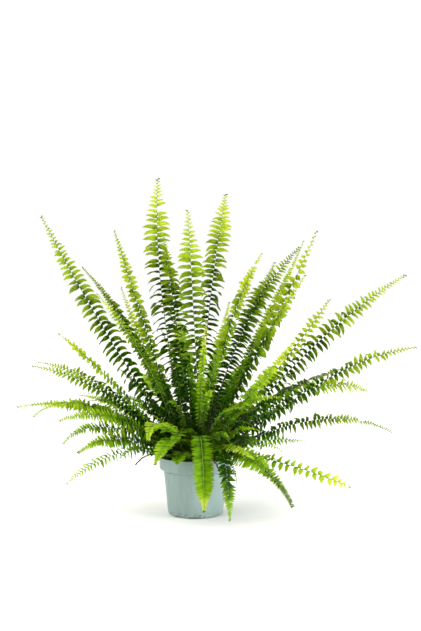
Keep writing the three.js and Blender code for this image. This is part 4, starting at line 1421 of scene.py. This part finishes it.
class FERN_OT_pot(bpy.types.Operator):
    """Turn the plastic pot and cut its holes and notches"""

    bl_idname = "fern.pot"
    bl_label = "Make the pot"

    def execute(self, context):
        pot = settings_of(context)[1]
        mesh = turned_mesh("nursery_pot", pot_outline(pot), POT_SIDES)
        piece = bpy.data.objects.new("nursery_pot", mesh)
        context.scene.collection.objects.link(piece)
        cut_away(piece, pot_cutters())
        piece.data.polygons.foreach_set("use_smooth", [True] * len(piece.data.polygons))
        piece.data.set_sharp_from_angle(angle=POT_CREASE)
        piece.data.materials.clear()
        piece.data.materials.append(moulded_polypropylene("moulded_polypropylene", pot))
        put_on(piece, "pot_plastic", "pot")
        return {"FINISHED"}


# ---- Soil ----

SOIL_SIDES = 96
SOIL_RINGS = 30
SEAT_GAP = 0.3
# The size of the humps, and how far from the edge they begin to fade.
HUMP_SIZE = 9
SOIL_RIM = 3
# How far out crumbs lie and fibres start, as shares of the soil's radius; the points along a fibre,
# and how near the edge one may lie.
CRUMB_REACH = 0.97
FIBRE_REACH = 0.9
FIBRE_POINTS = 7
FIBRE_RIM = 1.5


def peat_surface(x, y, relief):
    """Height of the crumbly surface at a place, in millimetres."""
    radius = math.hypot(x, y)
    inside = 1 - float(smoothstep(SOIL_RADIUS - SOIL_RIM, SOIL_RADIUS, radius))
    humps = noise.fractal(Vector((x / HUMP_SIZE, y / HUMP_SIZE, 3)), 0.6, 2.1, 5)
    return soil_height(radius) + (humps * relief - 0.4) * inside


def peat_body(skin, settings):
    """The block of peat, from the pot's floor to its crumbly top."""
    relief = settings.relief / MM
    turn = np.linspace(0, 2 * math.pi, SOIL_SIDES, endpoint=False)
    inner_foot = BODY_FOOT_RADIUS - POT_WALL - SEAT_GAP
    walls = [
        (inner_foot - FLOOR_BEVEL, FLOOR_TOP + SEAT_GAP),
        (inner_foot, FLOOR_TOP + FLOOR_BEVEL + SEAT_GAP),
        (BODY_TOP_RADIUS - POT_WALL - SEAT_GAP, BAND_BOTTOM + SEAT_GAP),
        (SOIL_RADIUS, BAND_BOTTOM + LEDGE + POT_WALL + SEAT_GAP),
    ]
    points = []
    for radius, height in walls:
        points += [(radius * math.cos(a), radius * math.sin(a), height) for a in turn]
    for ring in range(SOIL_RINGS, 0, -1):
        radius = SOIL_RADIUS * ring / SOIL_RINGS
        for a in turn:
            x = radius * math.cos(a)
            y = radius * math.sin(a)
            points.append((x, y, peat_surface(x, y, relief)))
    points += [(0, 0, FLOOR_TOP + SEAT_GAP), (0, 0, peat_surface(0, 0, relief))]
    skin.add(points, ring_faces(len(walls) + SOIL_RINGS, SOIL_SIDES), 0)


def soil_spot(rng, reach):
    """A random place on the soil, within this share of its radius."""
    radius = SOIL_RADIUS * math.sqrt(rng.random()) * reach
    turn = rng.uniform(0, 2 * math.pi)
    return radius * math.cos(turn), radius * math.sin(turn)


def peat_crumbs(skin, settings, rng):
    """Loose crumbs, sunk a third into the surface, each squashed and roughened in its own way."""
    relief = settings.relief / MM
    ball = bmesh.new()
    bmesh.ops.create_icosphere(ball, subdivisions=2, radius=1)
    corners = np.array([vert.co[:] for vert in ball.verts])
    faces = np.array([[vert.index for vert in face.verts] for face in ball.faces])
    ball.free()
    for index in range(settings.crumb_count):
        x, y = soil_spot(rng, CRUMB_REACH)
        size = settings.crumb_size / MM / 2 * rng.lognormal(0, 0.4)
        apart = Vector((index, 0, 0))
        lumps = np.array([noise.noise(Vector(corner) * 1.7 + apart) for corner in corners])
        shape = corners * (1 + 0.45 * lumps[:, None]) * size * rng.uniform(0.6, 1.1, 3)
        spin = np.array(Matrix.Rotation(rng.uniform(0, math.pi), 3, "Z"))
        centre = np.array([x, y, peat_surface(x, y, relief) + size * 0.2])
        skin.add(shape @ spin.T + centre, [faces], 0)


def peat_fibres(skin, settings, rng):
    """Short root and moss fibres that lie on the peat and curl up out of it."""
    relief = settings.relief / MM
    for _ in range(settings.fibre_count):
        spot = np.array(soil_spot(rng, FIBRE_REACH))
        way = rng.uniform(0, 2 * math.pi)
        bend = rng.uniform(-1.2, 1.2)
        length = rng.uniform(5, 13)
        steps = np.linspace(0, 1, FIBRE_POINTS)
        ways = way + bend * steps
        level = spot + np.stack([np.cos(ways), np.sin(ways)], axis=1) * (steps * length)[:, None]
        reach = np.linalg.norm(level, axis=1)
        level = level * np.minimum(1, (SOIL_RADIUS - FIBRE_RIM) / reach)[:, None]
        arch = np.sin(steps * math.pi) * rng.uniform(0.6, 2.4) - 0.4
        heights = [peat_surface(px, py, relief) + rise for (px, py), rise in zip(level, arch)]
        line = np.column_stack([level, heights])
        ahead = unit(np.gradient(line, axis=0))
        side = unit(np.cross(ahead, [0, 0, 1.0]))
        thin = np.full(FIBRE_POINTS, rng.uniform(0.16, 0.34))
        tube(skin, line, side, np.cross(side, ahead), thin, thin, 1, np.ones(FIBRE_POINTS), around=4)


class FERN_OT_soil(bpy.types.Operator):
    """Fill the pot with crumbly peat"""

    bl_idname = "fern.soil"
    bl_label = "Fill in the peat"

    def execute(self, context):
        leaves, _, soil, _ = settings_of(context)
        rng = np.random.default_rng(SEED)
        skin = Skin()
        peat_body(skin, soil)
        peat_crumbs(skin, soil, rng)
        peat_fibres(skin, soil, rng)
        materials = [moist_peat("moist_peat", soil), dry_stalk("peat_fibre", leaves)]
        put_on(skin.build("peat", materials), "peat", "soil")
        return {"FINISHED"}


# ---- Stage ----

# The longer side of the camera's sensor, in millimetres.
SENSOR = 36.0
# The stage's sizes and places, in metres. The soft lamps point at the middle of the plant, and the
# ceiling's light comes from a wide angle and leans a little.
FLOOR_HALF = 30.0
PLANT_MIDDLE = (0.02, 0.0, 0.2)
LAMP_SIZE = 1.0
LEFT_LAMP = (-1.2, -1.0, 0.8)
RIGHT_LAMP = (1.5, -0.8, 0.6)
CEILING_AIM = (0.35, -0.25, -1)
CEILING_SPREAD = math.radians(100)
# The lamps' colours: a warm ceiling, a warm left and a cool right, all but white.
CEILING_TINT = (1.0, 0.99, 0.955)
LEFT_TINT = (1.0, 0.99, 0.95)
RIGHT_TINT = (0.99, 1.0, 1.0)


def lamp(name, kind, aim, strength, colour):
    """A lamp that shines along the direction in which it is aimed, and the object that holds it."""
    light = bpy.data.lights.new(name, kind)
    light.energy = strength
    light.color = colour
    holder = bpy.data.objects.new(name, light)
    holder.rotation_euler = Vector(aim).to_track_quat("-Z", "Y").to_euler()
    bpy.context.scene.collection.objects.link(holder)
    return light, holder


def soft_lamp(name, place, power, colour):
    """A large square lamp that points at the plant."""
    light, holder = lamp(name, "AREA", Vector(PLANT_MIDDLE) - Vector(place), power, colour)
    light.shape = "SQUARE"
    light.size = LAMP_SIZE
    holder.location = place


def white_room(name, stage):
    """Soft white light from all round, in front of a backdrop that is lit apart, as in a studio."""
    world = bpy.data.worlds.new(name)
    world.use_nodes = True
    tree = world.node_tree
    tree.nodes.clear()
    seen = add_node(tree, "LightPath").outputs["Is Camera Ray"]
    strength = add_node(tree, "MapRange", [seen, 0.0, 1.0, stage.surround, stage.backdrop])
    white = add_node(tree, "Background", {"Color": (1, 1, 1, 1), "Strength": strength.outputs[0]})
    add_node(tree, "OutputWorld", {"Surface": white.outputs[0]})
    return world


class FERN_OT_stage(bpy.types.Operator):
    """Set the camera, the floor, the white room and the soft lamps"""

    bl_idname = "fern.stage"
    bl_label = "Set the studio"

    def execute(self, context):
        stage = settings_of(context)[3]
        scene = context.scene
        camera = bpy.data.objects.new("camera", bpy.data.cameras.new("camera"))
        camera.data.lens = stage.camera_lens
        camera.data.sensor_width = SENSOR
        camera.location = stage.camera_place
        camera.rotation_euler = (math.pi / 2, 0, 0)
        scene.collection.objects.link(camera)
        scene.camera = camera

        mesh = bpy.data.meshes.new("floor")
        turns = ((-1, -1), (1, -1), (1, 1), (-1, 1))
        mesh.from_pydata([(x * FLOOR_HALF, y * FLOOR_HALF, 0) for x, y in turns], [], [(0, 1, 2, 3)])
        mesh.materials.append(studio_floor("matt_white_board", stage))
        floor = bpy.data.objects.new("floor", mesh)
        scene.collection.objects.link(floor)

        scene.world = white_room("white_room", stage)
        sky, _ = lamp("ceiling_lamp", "SUN", CEILING_AIM, stage.sky_strength, CEILING_TINT)
        sky.angle = CEILING_SPREAD
        soft_lamp("left_lamp", LEFT_LAMP, stage.left_power, LEFT_TINT)
        soft_lamp("right_lamp", RIGHT_LAMP, stage.right_power, RIGHT_TINT)
        scene.view_settings.view_transform = "Standard"
        return {"FINISHED"}


# ---- The sidebar and the add-on ----


class FERN_PT_panel(bpy.types.Panel):
    """Buttons that make each part of the plant, with their settings"""

    bl_label = "Potted sword fern"
    bl_idname = "FERN_PT_panel"
    bl_space_type = "VIEW_3D"
    bl_region_type = "UI"
    bl_category = "Fern"

    def draw(self, context):
        layout = self.layout
        for operator, group in SECTIONS:
            box = layout.box()
            box.operator(operator.bl_idname)
            settings = getattr(context.scene, group)
            for name in settings.bl_rna.properties.keys():
                if name not in ("rna_type", "name"):
                    box.prop(settings, name)


SETTING_GROUPS = {
    "fern_leaves": FernSettings,
    "fern_pot": PotSettings,
    "fern_soil": SoilSettings,
    "fern_stage": StageSettings,
}
SECTIONS = [
    (FERN_OT_stage, "fern_stage"),
    (FERN_OT_pot, "fern_pot"),
    (FERN_OT_soil, "fern_soil"),
    (FERN_OT_fronds, "fern_leaves"),
    (FERN_OT_dead_stalks, "fern_leaves"),
]


def register():
    for name, group in SETTING_GROUPS.items():
        bpy.utils.register_class(group)
        setattr(bpy.types.Scene, name, bpy.props.PointerProperty(type=group))
    for operator, _ in SECTIONS:
        bpy.utils.register_class(operator)
    bpy.utils.register_class(FERN_PT_panel)


def unregister():
    bpy.utils.unregister_class(FERN_PT_panel)
    for operator, _ in reversed(SECTIONS):
        bpy.utils.unregister_class(operator)
    for name, group in SETTING_GROUPS.items():
        delattr(bpy.types.Scene, name)
        bpy.utils.unregister_class(group)


def main():
    register()
    bpy.ops.fern.stage()
    bpy.ops.fern.pot()
    bpy.ops.fern.soil()
    bpy.ops.fern.fronds()
    bpy.ops.fern.dead_stalks()


if __name__ == "__main__":
    main()
